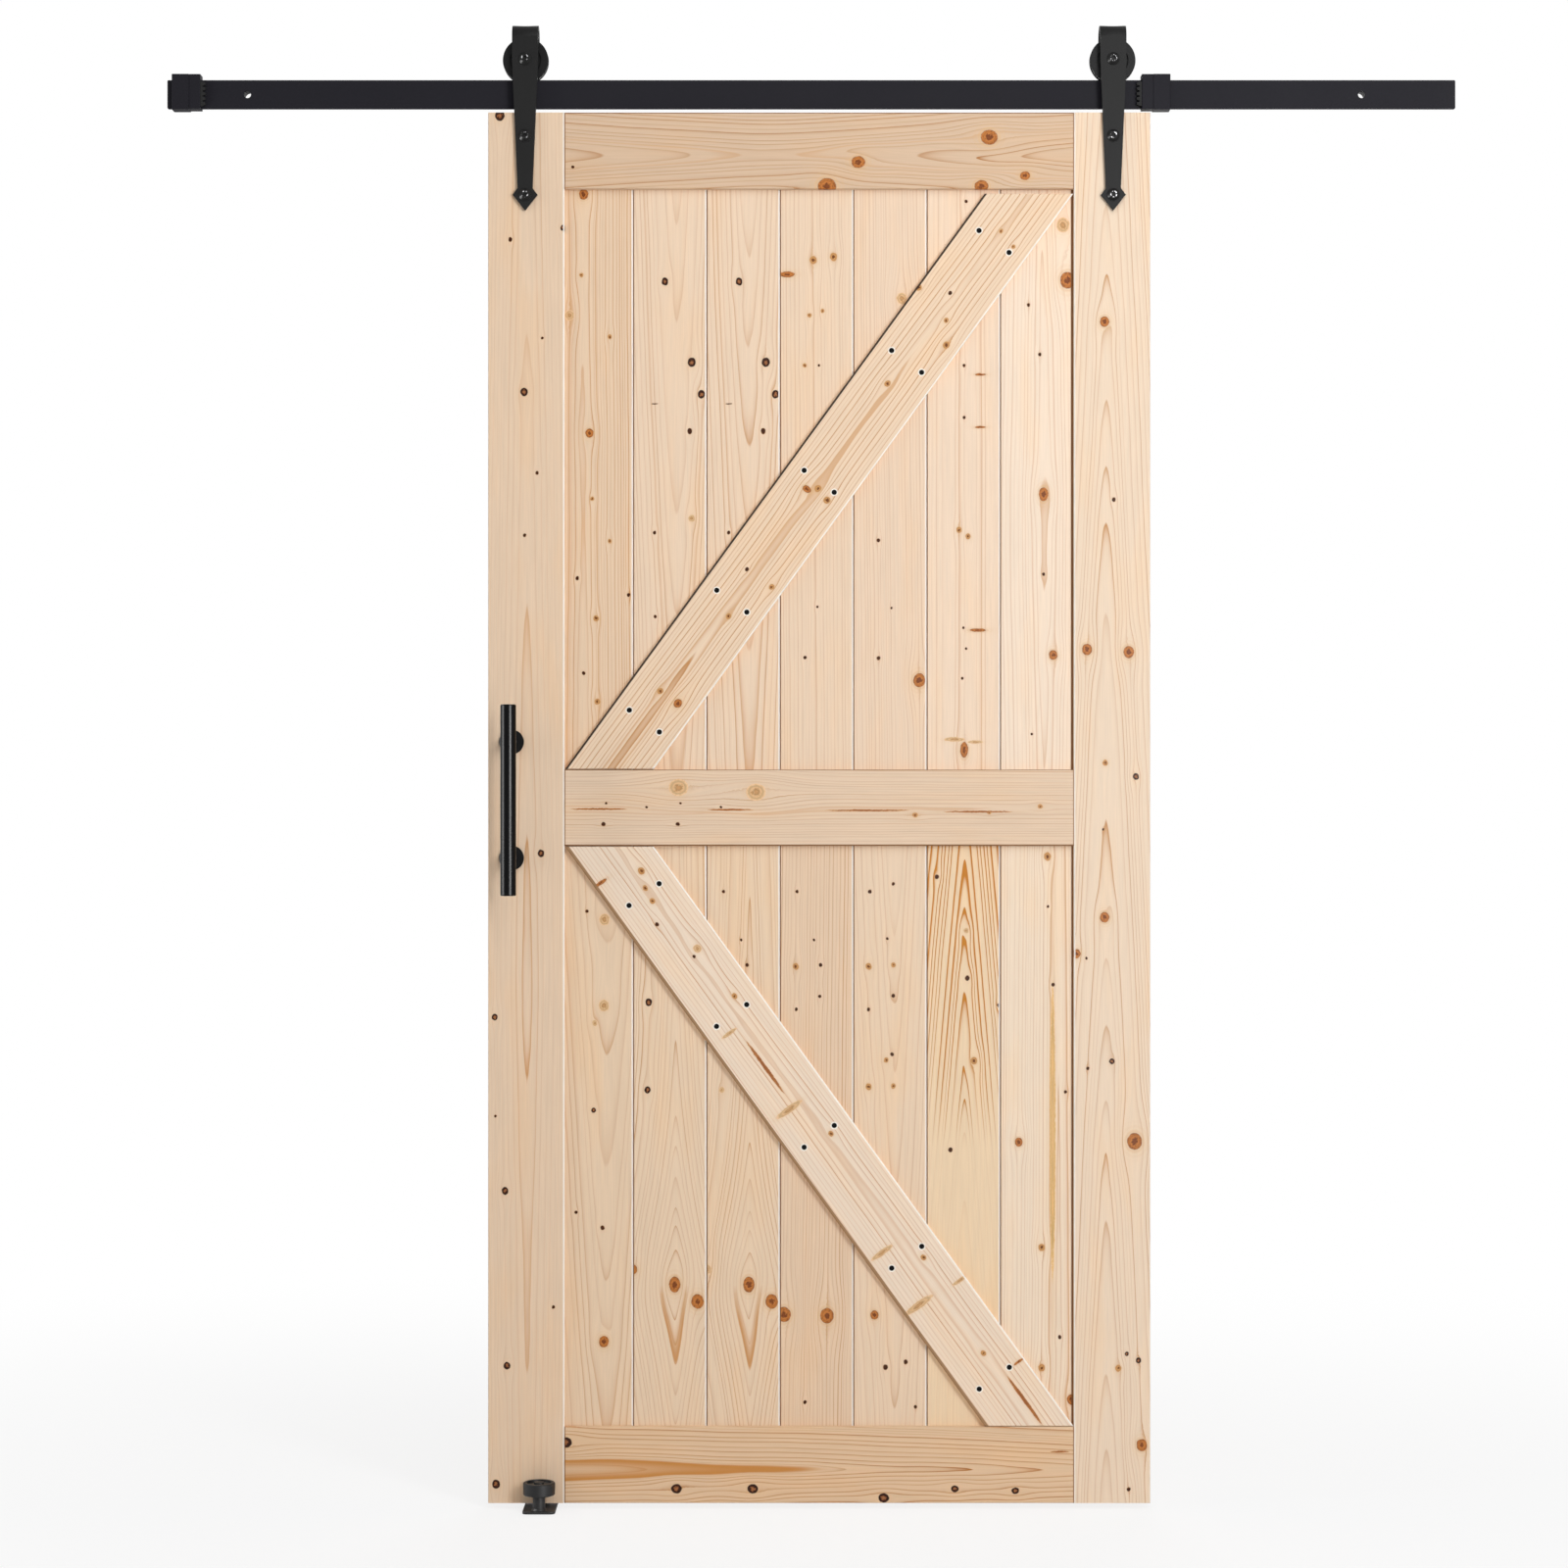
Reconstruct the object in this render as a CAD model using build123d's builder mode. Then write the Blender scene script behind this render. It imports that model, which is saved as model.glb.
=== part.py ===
"""Sliding barn door on a flat track.

A framed spruce door with a tongue and groove panel and two diagonal braces hangs from two
bent strap hangers with grooved wheels. Two stops with rubber bumpers sit on the track, and a
floor guide with two rollers keeps the foot of the door in line.

Millimetres. X runs to the right along the track, Y into the wall and Z up. The origin lies on
the wall, on the axis of the left track bolt.
"""

import os
from math import atan2, degrees, hypot, sqrt

from build123d import *

# Track and its wall spacers
track_length = 1980
track_height = 44
track_thickness = 6
track_left_inset = 123
track_right_inset = 144
track_hole_r = 5.5
track_corner = 2
spacer_length = 32
spacer_r = 14
spacer_bore_r = 9

# Door frame
door_width = 1016
door_height = 2134
door_thickness = 35
door_offset = 12
door_gap = 7.5
frame_width = 117
groove_width = 15.4
groove_depth = 12
seat_depth = 11
edge_ease = 1.2

# Tongue and groove boards
board_count = 7
board_thickness = 15
first_board = 105
joint_gap = 0.3
tongue_length = 6
tongue_thickness = 5
tongue_fit = 0.2
board_bevel = 1.6

# Braces
brace_width = 110
brace_side_gap = 1
upper_brace_gap = 7.5
lower_brace_gap = 1
screw_rows = 5
screw_pair = 57
screw_end = 91
screw_head_r = 4.2
screw_shank_r = 2.2
screw_sink = 2.4

# Strap hangers
hanger_inset = 57
strap_width = 40
strap_thickness = 6
strap_gap = 25
strap_rise = 54
strap_back_drop = 22
strap_corner = 8
strap_saddle = 1.8
strap_neck = 23
arrow_width = 38
upper_bolt_drop = 36.5
lower_bolt_drop = 127
neck_drop = 117
tip_drop = 151

# Wheels and bolts
wheel_r = 35
tread_r = 29.5
tread_width = 8
tread_flare = 1.2
wheel_width = 15
rim_ease = 1
rim_inner_r = 24
web_thickness = 8
hub_r = 12
hub_play = 0.5
axle_r = 6
axle_play = 0.1
tread_play = 0.3
head_r = 9.5
head_height = 5.2
head_crown_r = 5.6
head_edge = 1.6
socket_flats = 6
socket_depth = 3
bolt_r = 4
bolt_play = 0.5
nut_flats = 13
nut_height = 5
nut_flange_r = 9
nut_flange = 1.5
bolt_end = 1.5
axle_nut_flats = 18
axle_nut_height = 6

# Pull handle
handle_length = 290
handle_r = 12
handle_stand = 65
handle_inset = 36
handle_rise = 12
handle_overhang = 56
rosette_r = 19
rosette_thickness = 5
rosette_ease = 1.5
bar_ease = 1.2
stem_r = 8
saddle_play = 0.1

# Stops and bumpers
stop_width = 44
stop_inner = 18
stop_step = 1.2
stop_ease = 1
stop_wall = 9
stop_rise = 8
stop_hook = 2.5
stop_play = 0.25
left_stop_inset = 8
right_stop_gap = 44.3
bumper_reach = 7.5
bumper_root = 3
bumper_land = 3
bumper_notch = 1.2
bumper_ribs = 5
bumper_height = 38
bumper_depth = 7

# Floor guide
floor_gap = 9
guide_inset = 80
guide_plate_width = 50
guide_plate_length = 115
guide_plate_thickness = 4
guide_corner = 8
guide_ease = 0.6
guide_hole_spacing = 40
guide_hole_r = 2.75
guide_sink_r = 5
roller_r = 24.5
roller_height = 19
roller_bore = 4.1
roller_play = 0.6
roller_lift = 0.3
roller_ease = 1.2
roller_recess_r = 19
roller_recess = 3
post_r = 9.5
post_height = 23
foot_r = 11.5
foot_height = 3
spindle_r = 4
cap_r = 7.5
cap_height = 3

# Positions worked out from the sizes
track_back = -spacer_length
track_front = track_back - track_thickness
track_mid = (track_back + track_front) / 2
track_top = track_height / 2
track_left = -track_left_inset
track_right = track_left + track_length
right_hole = track_right - track_right_inset
axle_z = track_top + tread_play + tread_r

door_front = track_mid - strap_gap / 2
door_back = door_front + door_thickness
door_mid = (door_front + door_back) / 2
door_centre = (track_left + track_right) / 2 + door_offset
door_left = door_centre - door_width / 2
door_right = door_centre + door_width / 2
door_top = -track_top - door_gap
door_bottom = door_top - door_height
field_left = door_left + frame_width
field_right = door_right - frame_width
field_width = field_right - field_left
upper_top = door_top - frame_width
middle_centre = (door_top + door_bottom) / 2
upper_bottom = middle_centre + frame_width / 2
lower_top = middle_centre - frame_width / 2
lower_bottom = door_bottom + frame_width
panel_front = door_mid - board_thickness / 2

hanger_left = door_left + hanger_inset
hanger_right = door_right - hanger_inset
strap_front = door_front - strap_thickness
strap_back = door_front + strap_gap + strap_thickness
strap_top = axle_z + strap_rise
floor_z = door_bottom - floor_gap
handle_spacing = handle_length - 2 * handle_overhang

os.makedirs("parts", exist_ok=True)


def save(piece, name):
    """Label a piece and write its file."""
    piece.part.label = name
    export_step(piece.part, f"parts/{name}.step")


def make_stile(x0, x1, inner):
    """A full-height upright with a groove along its inner edge."""
    centre = ((x0 + x1) / 2, door_mid, (door_top + door_bottom) / 2)
    with BuildPart() as stile:
        with Locations(centre):
            Box(x1 - x0, door_thickness, door_height)
        long_edges = stile.edges().filter_by(Axis.Z)
        chamfer(long_edges, length=edge_ease)
        with Locations((inner, door_mid, centre[2])):
            Box(2 * groove_depth, groove_width, door_height, mode=Mode.SUBTRACT)
    return stile


def make_rail(z0, z1, grooves):
    """A crosspiece with stub tenons, grooved on the edges that hold boards."""
    height = z1 - z0
    centre = (door_centre, door_mid, (z0 + z1) / 2)
    with BuildPart() as rail:
        with Locations(centre):
            Box(field_width, door_thickness, height)
        long_edges = rail.edges().filter_by(Axis.X)
        chamfer(long_edges, length=edge_ease)
        with Locations(centre):
            Box(field_width + 2 * seat_depth, board_thickness, height - 2 * edge_ease)
        for level in grooves:
            with Locations((door_centre, door_mid, level)):
                Box(
                    field_width + 4 * seat_depth,
                    groove_width,
                    2 * groove_depth,
                    mode=Mode.SUBTRACT,
                )
    return rail


def board_edge(index):
    """The line of the joint to the left of a board, counted from 0."""
    if index == 0:
        return field_left
    rest = (field_width - first_board) / (board_count - 1)
    return field_left + first_board + (index - 1) * rest


def board_outline(index):
    """The cross-section of a board: groove on the left, tongue on the right."""
    half = board_thickness / 2
    bevel = board_bevel
    groove = tongue_thickness / 2 + tongue_fit
    tongue = tongue_thickness / 2
    left = board_edge(index) + joint_gap / 2
    right = board_edge(index + 1) - joint_gap / 2
    depth = tongue_length + tongue_fit
    points = []
    if index == 0:
        left = field_left - seat_depth
        points += [(left, half), (left, -half)]
    else:
        points += [
            (left + bevel, half),
            (left, half - bevel),
            (left, groove),
            (left + depth, groove),
            (left + depth, -groove),
            (left, -groove),
            (left, -half + bevel),
            (left + bevel, -half),
        ]
    if index == board_count - 1:
        right = field_right + seat_depth
        points += [(right, -half), (right, half)]
    else:
        points += [
            (right - bevel, -half),
            (right, -half + bevel),
            (right, -tongue),
            (right + tongue_length, -tongue),
            (right + tongue_length, tongue),
            (right, tongue),
            (right, half - bevel),
            (right - bevel, half),
        ]
    return points


def make_board(index, z0, z1):
    """One upright panel board, seated in the rails' grooves."""
    bottom = z0 - seat_depth
    height = z1 - z0 + 2 * seat_depth
    outline = [(x, door_mid + y) for x, y in board_outline(index)]
    with BuildPart() as board:
        with BuildSketch(Plane.XY.offset(bottom)):
            with BuildLine():
                Polyline(*outline, close=True)
            make_face()
        extrude(amount=height)
    return board


def brace_end(width, height):
    """The length of a brace's level end cut, for its width across the grain."""
    b2 = brace_width**2
    h2 = height**2
    root = sqrt(b2**2 * width**2 + (h2 - b2) * b2 * (width**2 + h2))
    return (root - b2 * width) / (h2 - b2)


def make_brace(z0, z1, rising):
    """A diagonal brace on the panel, with countersunk holes in pairs."""
    x0 = field_left + brace_side_gap
    x1 = field_right - brace_side_gap
    end = brace_end(x1 - x0, z1 - z0)
    low, high = (z0, z1) if rising else (z1, z0)
    corners = [(x0, low), (x0 + end, low), (x1, high), (x1 - end, high)]
    run = x1 - x0 - end
    length = hypot(run, high - low)
    along = (run / length, (high - low) / length)
    across = (-along[1], along[0])
    middle = ((x0 + x1) / 2, (z0 + z1) / 2)
    pitch = (length - 2 * screw_end) / (screw_rows - 1)
    holes = []
    for row in range(screw_rows):
        step = (row - (screw_rows - 1) / 2) * pitch
        for side in (-0.5, 0.5):
            shift = side * screw_pair
            holes.append(
                (
                    middle[0] + step * along[0] + shift * across[0],
                    middle[1] + step * along[1] + shift * across[1],
                )
            )
    thickness = panel_front - door_front
    sink_angle = degrees(atan2(screw_head_r - screw_shank_r, screw_sink))
    with BuildPart() as brace:
        with BuildSketch(Plane.XZ.offset(-panel_front)):
            with BuildLine():
                Polyline(*corners, close=True)
            make_face()
        extrude(amount=thickness)
        front = brace.faces().sort_by(Axis.Y)[0]
        chamfer(front.edges(), length=edge_ease)
        with BuildSketch(Plane.XZ.offset(-door_front)):
            with Locations(*holes):
                Circle(screw_head_r)
        extrude(amount=-screw_sink, taper=sink_angle, mode=Mode.SUBTRACT)
    return brace


def strap_outline(x):
    """The strap's outline from the front: a long taper ending in an arrow head."""
    half = strap_width / 2
    neck = strap_neck / 2
    arrow = arrow_width / 2
    top = strap_top + 1
    return [
        (x - half, top),
        (x - half, axle_z),
        (x - neck, door_top - neck_drop),
        (x - arrow, door_top - lower_bolt_drop),
        (x, door_top - tip_drop),
        (x + arrow, door_top - lower_bolt_drop),
        (x + neck, door_top - neck_drop),
        (x + half, axle_z),
        (x + half, top),
    ]


def make_strap(x):
    """A flat bar bent over the wheel, long in front and short behind."""
    outer_r = strap_gap / 2 + strap_thickness
    inner_r = strap_gap / 2
    bend_z = strap_top - outer_r
    tip = door_top - tip_drop
    back_end = axle_z - strap_back_drop
    saddle_r = (strap_width**2 / 4 + strap_saddle**2) / (2 * strap_saddle)
    with BuildPart() as strap:
        with BuildSketch(Plane.YZ.offset(x)):
            with BuildLine():
                Line((strap_front, tip), (strap_front, bend_z))
                ThreePointArc(
                    (strap_front, bend_z), (track_mid, strap_top), (strap_back, bend_z)
                )
                Line((strap_back, bend_z), (strap_back, back_end))
                Line((strap_back, back_end), (strap_back - strap_thickness, back_end))
                Line(
                    (strap_back - strap_thickness, back_end),
                    (strap_back - strap_thickness, bend_z),
                )
                ThreePointArc(
                    (strap_back - strap_thickness, bend_z),
                    (track_mid, bend_z + inner_r),
                    (door_front, bend_z),
                )
                Line((door_front, bend_z), (door_front, tip))
                Line((door_front, tip), (strap_front, tip))
            make_face()
        extrude(amount=strap_width / 2, both=True)
        with BuildSketch(Plane.XZ):
            with BuildLine():
                Polyline(*strap_outline(x), close=True)
            make_face()
        extrude(amount=-strap_front + strap_thickness, mode=Mode.INTERSECT)
        corner = strap.edges().filter_by(Axis.Y).filter_by_position(
            Axis.Z, back_end - 0.1, back_end + 0.1
        )
        fillet(corner, radius=strap_corner)
        with BuildSketch(Plane.XZ):
            with Locations((x, strap_top - strap_saddle + saddle_r)):
                Circle(saddle_r)
        extrude(amount=-strap_front + strap_thickness, mode=Mode.SUBTRACT)
        with Locations(Plane.XZ.offset(-strap_front)):
            with Locations((x, axle_z)):
                Hole(axle_r + axle_play)
            with Locations((x, door_top - upper_bolt_drop), (x, door_top - lower_bolt_drop)):
                Hole(bolt_r + bolt_play, depth=2 * strap_thickness)
    return strap


def make_wheel(x):
    """A wheel with a groove that runs on the track's top edge."""
    hub = strap_gap / 2 - hub_play
    web = web_thickness / 2
    rim = wheel_width / 2
    tread = tread_width / 2
    bore = axle_r + axle_play
    profile = [
        (bore, -hub),
        (hub_r, -hub),
        (hub_r, -web),
        (rim_inner_r, -web),
        (rim_inner_r, -rim),
        (wheel_r - rim_ease, -rim),
        (wheel_r, -rim + rim_ease),
        (wheel_r, -tread - tread_flare),
        (tread_r, -tread),
        (tread_r, tread),
        (wheel_r, tread + tread_flare),
        (wheel_r, rim - rim_ease),
        (wheel_r - rim_ease, rim),
        (rim_inner_r, rim),
        (rim_inner_r, web),
        (hub_r, web),
        (hub_r, hub),
        (bore, hub),
    ]
    centre = (x, track_mid, axle_z)
    with BuildPart() as wheel:
        with BuildSketch(Plane(origin=centre, x_dir=(0, 0, 1), z_dir=(1, 0, 0))):
            with BuildLine():
                Polyline(*profile, close=True)
            make_face()
        revolve(axis=Axis(centre, (0, 1, 0)))
    return wheel


def cut_bolt(x, z, shank_r, seat, back, flats, nut_height_now, flange):
    """A button-head bolt with its nut, from the strap's face to behind the seat of the nut."""
    end = back + nut_height_now + bolt_end
    head = [
        (0, seat - head_height),
        (head_crown_r, seat - head_height),
        (head_r, seat - head_edge),
        (head_r, seat),
        (shank_r, seat),
        (shank_r, end),
        (0, end),
    ]
    plane = Plane(origin=(x, 0, z), x_dir=(1, 0, 0), z_dir=(0, 0, 1))
    with BuildPart() as bolt:
        with BuildSketch(plane):
            with BuildLine():
                Polyline(*head, close=True)
            make_face()
        revolve(axis=Axis((x, 0, z), (0, 1, 0)))
        with BuildSketch(Plane.XZ.offset(-back)):
            with Locations((x, z)):
                RegularPolygon(flats / 2, 6, major_radius=False)
        extrude(amount=-nut_height_now)
        if flange:
            with BuildSketch(Plane.XZ.offset(-back)):
                with Locations((x, z)):
                    Circle(nut_flange_r)
            extrude(amount=-nut_flange)
        with BuildSketch(Plane.XZ.offset(-(seat - head_height))):
            with Locations((x, z)):
                RegularPolygon(socket_flats / 2, 6, major_radius=False)
        extrude(amount=-socket_depth, mode=Mode.SUBTRACT)
    return bolt


def make_axle_bolt(x):
    """The bolt that carries a wheel between the strap's two legs."""
    return cut_bolt(x, axle_z, axle_r, strap_front, strap_back, axle_nut_flats, axle_nut_height, False)


def make_hanger_bolts(x):
    """The two bolts that hold a strap to its stile."""
    upper = cut_bolt(
        x, door_top - upper_bolt_drop, bolt_r, strap_front, door_back, nut_flats, nut_height, True
    )
    lower = cut_bolt(
        x, door_top - lower_bolt_drop, bolt_r, strap_front, door_back, nut_flats, nut_height, True
    )
    with BuildPart() as pair:
        add(upper.part)
        add(lower.part)
    return pair


def bore_stile(stile, x):
    """The stile with its two bolt holes."""
    with BuildPart() as bored:
        add(stile.part)
        with Locations(Plane.XZ.offset(-door_front)):
            with Locations((x, door_top - upper_bolt_drop), (x, door_top - lower_bolt_drop)):
                Hole(bolt_r + bolt_play)
    return bored


def make_spacer(x):
    """A tube that holds the track off the wall."""
    with BuildPart() as spacer:
        with BuildSketch(Plane.XZ):
            with Locations((x, 0)):
                Circle(spacer_r)
                Circle(spacer_bore_r, mode=Mode.SUBTRACT)
        extrude(amount=spacer_length)
    return spacer


def make_track():
    """The flat bar, drilled for its wall bolts."""
    centre = ((track_left + track_right) / 2, track_mid, 0)
    with BuildPart() as track:
        with Locations(centre):
            Box(track_length, track_thickness, track_height)
        ends = track.edges().filter_by(Axis.Y)
        fillet(ends, radius=track_corner)
        with Locations(Plane.XZ.offset(-track_front)):
            with Locations((0, 0), (right_hole, 0)):
                Hole(track_hole_r)
    return track


def make_stop(inner, way):
    """A sleeve on the track; way is the side its outer part lies on."""
    front = track_front - stop_wall
    back = track_back + stop_wall
    top = track_top + stop_rise
    bottom = -track_top - stop_hook
    seam = inner + way * stop_inner
    outer = inner + way * stop_width
    with BuildPart() as stop:
        with Locations(((seam + outer) / 2, (front + back) / 2, (top + bottom) / 2)):
            Box(abs(outer - seam), back - front, top - bottom)
        with Locations(
            ((inner + seam) / 2, (front + stop_step + back) / 2, (top + bottom + stop_step) / 2)
        ):
            Box(abs(seam - inner), back - front - stop_step, top - bottom - stop_step)
        upright = stop.edges().filter_by(Axis.Z)
        chamfer(upright.sort_by(Axis.X)[-2:] + upright.sort_by(Axis.X)[:2], length=stop_ease)
        with Locations(((inner + outer) / 2, track_mid, 0)):
            Box(
                2 * stop_width,
                track_thickness + 2 * stop_play,
                track_height + 2 * stop_play,
                mode=Mode.SUBTRACT,
            )
    return stop


def make_bumper(inner, way):
    """A ribbed rubber pad on the side of a stop that meets the wheel."""
    pitch = bumper_height / bumper_ribs
    low = -bumper_height / 2
    root = inner - way * bumper_root
    tip = inner - way * bumper_reach
    points = [(inner, -low), (inner, low)]
    for rib in range(bumper_ribs):
        middle = low + (rib + 0.5) * pitch
        points += [
            (root, middle - (pitch - bumper_notch) / 2),
            (tip, middle - bumper_land / 2),
            (tip, middle + bumper_land / 2),
            (root, middle + (pitch - bumper_notch) / 2),
        ]
    pad_back = track_front - stop_play
    with BuildPart() as bumper:
        with BuildSketch(Plane.XZ.offset(-pad_back)):
            with BuildLine():
                Polyline(*points, close=True)
            make_face()
        extrude(amount=bumper_depth)
    return bumper


def make_bar():
    """The handle's upright bar."""
    x = door_left + handle_inset
    y = door_front - handle_stand
    z = middle_centre + handle_rise
    with BuildPart() as bar:
        with Locations((x, y, z)):
            Cylinder(handle_r, handle_length)
        ends = bar.edges().filter_by(GeomType.CIRCLE)
        chamfer(ends, length=bar_ease)
    return bar


def make_post(side):
    """One of the handle's posts with its rosette against the door."""
    x = door_left + handle_inset
    z = middle_centre + handle_rise + side * handle_spacing / 2
    with BuildPart() as post:
        with BuildSketch(Plane.XZ.offset(-door_front)):
            with Locations((x, z)):
                Circle(rosette_r)
        extrude(amount=rosette_thickness)
        rim = post.edges().filter_by(GeomType.CIRCLE).sort_by(Axis.Y)[:1]
        chamfer(rim, length=rosette_ease)
        with BuildSketch(Plane.XZ.offset(-door_front)):
            with Locations((x, z)):
                Circle(stem_r)
        extrude(amount=handle_stand)
        with Locations((x, door_front - handle_stand, z)):
            Cylinder(handle_r + saddle_play, 6 * stem_r, mode=Mode.SUBTRACT)
    return post


def make_guide_plate(x):
    """The guide's floor plate with two countersunk holes."""
    with BuildPart() as plate:
        with BuildSketch(Plane.XY.offset(floor_z)):
            with Locations((x, door_mid)):
                RectangleRounded(guide_plate_width, guide_plate_length, guide_corner)
        extrude(amount=guide_plate_thickness)
        top = plate.faces().sort_by(Axis.Z)[-1]
        chamfer(top.edges(), length=guide_ease)
        with Locations(Plane.XY.offset(floor_z + guide_plate_thickness)):
            with Locations(
                (x, door_mid - guide_hole_spacing / 2), (x, door_mid + guide_hole_spacing / 2)
            ):
                CounterSinkHole(guide_hole_r, guide_sink_r, guide_plate_thickness)
    return plate


def roller_base():
    """The level of the rollers' undersides."""
    return floor_z + guide_plate_thickness + post_height


def make_guide_post(x, y):
    """A post with a spindle and a cap that keeps its roller on."""
    plate_top = floor_z + guide_plate_thickness
    base = roller_base()
    cap_base = base + 2 * roller_lift + roller_height - roller_recess
    profile = [
        (0, plate_top),
        (foot_r, plate_top),
        (post_r, plate_top + foot_height),
        (post_r, base),
        (spindle_r, base),
        (spindle_r, cap_base),
        (cap_r, cap_base),
        (cap_r, cap_base + cap_height),
        (0, cap_base + cap_height),
    ]
    with BuildPart() as post:
        with BuildSketch(Plane(origin=(x, y, 0), x_dir=(1, 0, 0), z_dir=(0, -1, 0))):
            with BuildLine():
                Polyline(*profile, close=True)
            make_face()
        revolve(axis=Axis((x, y, 0), (0, 0, 1)))
    return post


def make_roller(x, y):
    """A roller with a recess in its top."""
    low = roller_base() + roller_lift
    high = low + roller_height
    profile = [
        (roller_bore, low),
        (roller_r - roller_ease, low),
        (roller_r, low + roller_ease),
        (roller_r, high - roller_ease),
        (roller_r - roller_ease, high),
        (roller_recess_r, high),
        (roller_recess_r, high - roller_recess),
        (roller_bore, high - roller_recess),
    ]
    with BuildPart() as roller:
        with BuildSketch(Plane(origin=(x, y, 0), x_dir=(1, 0, 0), z_dir=(0, -1, 0))):
            with BuildLine():
                Polyline(*profile, close=True)
            make_face()
        revolve(axis=Axis((x, y, 0), (0, 0, 1)))
    return roller


# Door frame
left_stile = make_stile(door_left, field_left, field_left)
save(bore_stile(left_stile, hanger_left), "left_stile")
right_stile = make_stile(field_right, door_right, field_right)
save(bore_stile(right_stile, hanger_right), "right_stile")
save(make_rail(upper_top, door_top, [upper_top]), "top_rail")
save(make_rail(lower_top, upper_bottom, [lower_top, upper_bottom]), "middle_rail")
save(make_rail(door_bottom, lower_bottom, [lower_bottom]), "bottom_rail")

# Panel boards, counted from the left
for number in range(board_count):
    save(make_board(number, upper_bottom, upper_top), f"upper_board_{number + 1}")
    save(make_board(number, lower_bottom, lower_top), f"lower_board_{number + 1}")

# Braces
upper_brace = make_brace(upper_bottom + lower_brace_gap, upper_top - upper_brace_gap, True)
save(upper_brace, "upper_brace")
lower_brace = make_brace(lower_bottom + lower_brace_gap, lower_top - lower_brace_gap, False)
save(lower_brace, "lower_brace")

# Hangers
save(make_strap(hanger_left), "left_hanger_strap")
save(make_strap(hanger_right), "right_hanger_strap")
save(make_wheel(hanger_left), "left_wheel")
save(make_wheel(hanger_right), "right_wheel")
save(make_axle_bolt(hanger_left), "left_axle_bolt")
save(make_axle_bolt(hanger_right), "right_axle_bolt")
save(make_hanger_bolts(hanger_left), "left_hanger_bolts")
save(make_hanger_bolts(hanger_right), "right_hanger_bolts")

# Handle
save(make_bar(), "handle_bar")
save(make_post(1), "handle_upper_post")
save(make_post(-1), "handle_lower_post")

# Track, spacers, stops and bumpers
save(make_track(), "track")
save(make_spacer(0), "left_spacer")
save(make_spacer(right_hole), "right_spacer")
left_stop_face = track_left + left_stop_inset + stop_width
right_stop_face = hanger_right + right_stop_gap
save(make_stop(left_stop_face, -1), "left_stop")
save(make_stop(right_stop_face, 1), "right_stop")
save(make_bumper(left_stop_face, -1), "left_bumper")
save(make_bumper(right_stop_face, 1), "right_bumper")

# Floor guide
guide_x = door_left + guide_inset
front_y = door_front - roller_play - roller_r
rear_y = door_back + roller_play + roller_r
save(make_guide_plate(guide_x), "guide_plate")
save(make_guide_post(guide_x, front_y), "guide_front_post")
save(make_guide_post(guide_x, rear_y), "guide_rear_post")
save(make_roller(guide_x, front_y), "guide_front_roller")
save(make_roller(guide_x, rear_y), "guide_rear_roller")
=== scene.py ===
"""Looks of a sliding barn door: planed spruce, black coated hardware, and the studio round it.

Metres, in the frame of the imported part. Marks on the wood are written in millimetres to the
right of and below the top left corner of the door's face.
"""

import logging
import math
from dataclasses import dataclass
from enum import Enum
from typing import Sequence

import bmesh
import bpy
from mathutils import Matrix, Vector


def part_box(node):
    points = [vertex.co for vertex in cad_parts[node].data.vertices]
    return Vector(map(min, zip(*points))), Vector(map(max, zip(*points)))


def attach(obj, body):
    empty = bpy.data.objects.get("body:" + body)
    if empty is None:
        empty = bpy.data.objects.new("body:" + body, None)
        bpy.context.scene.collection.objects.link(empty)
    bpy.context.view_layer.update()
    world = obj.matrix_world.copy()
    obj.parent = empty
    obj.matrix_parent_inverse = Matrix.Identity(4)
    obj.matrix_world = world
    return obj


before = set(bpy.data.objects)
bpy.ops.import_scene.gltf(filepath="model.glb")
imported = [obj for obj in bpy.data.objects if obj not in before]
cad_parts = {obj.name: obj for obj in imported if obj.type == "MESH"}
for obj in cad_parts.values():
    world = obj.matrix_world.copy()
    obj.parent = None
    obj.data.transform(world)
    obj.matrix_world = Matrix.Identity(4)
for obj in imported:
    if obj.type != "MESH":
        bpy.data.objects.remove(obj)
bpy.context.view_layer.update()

LOG = logging.getLogger("barn_door")
MM = 0.001
NODES: dict[str, bpy.types.Object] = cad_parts

Colour = tuple[float, float, float, float]
Point = tuple[float, float]
Place = tuple[float, float, float]
Sockets = tuple[tuple[str, str], ...]


def srgb(red: int, green: int, blue: int) -> Colour:
    """Turn a colour as seen on a screen into the linear colour that shaders take.

    Args:
        red: Red from 0 to 255.
        green: Green from 0 to 255.
        blue: Blue from 0 to 255.

    Returns:
        The linear colour with full alpha.
    """
    parts = []
    for value in (red, green, blue):
        share = value / 255
        parts.append(share / 12.92 if share <= 0.04045 else ((share + 0.055) / 1.055) ** 2.4)
    return (parts[0], parts[1], parts[2], 1.0)


def grey(level: int) -> Colour:
    """The linear colour of a grey from 0 to 255."""
    return srgb(level, level, level)


def floats(*names: str) -> Sockets:
    """Sockets of a group for plain numbers."""
    return tuple((name, "Float") for name in names)


# Pale fresh-cut wood, used for the rings round the brace screws and as painted highlight on lit bevels. The
# next three are painted shade in the joints between pieces: the usual one, the darkest on the upper brace
# and a softer one on the lower brace.
FRESH_WOOD_AND_HIGHLIGHT = srgb(255, 249, 241)
PAINTED_GAP_SHADE = srgb(136, 94, 58)
DEEP_GAP_SHADE = srgb(30, 10, 0)
SOFT_GAP_SHADE = srgb(156, 116, 78)


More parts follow.
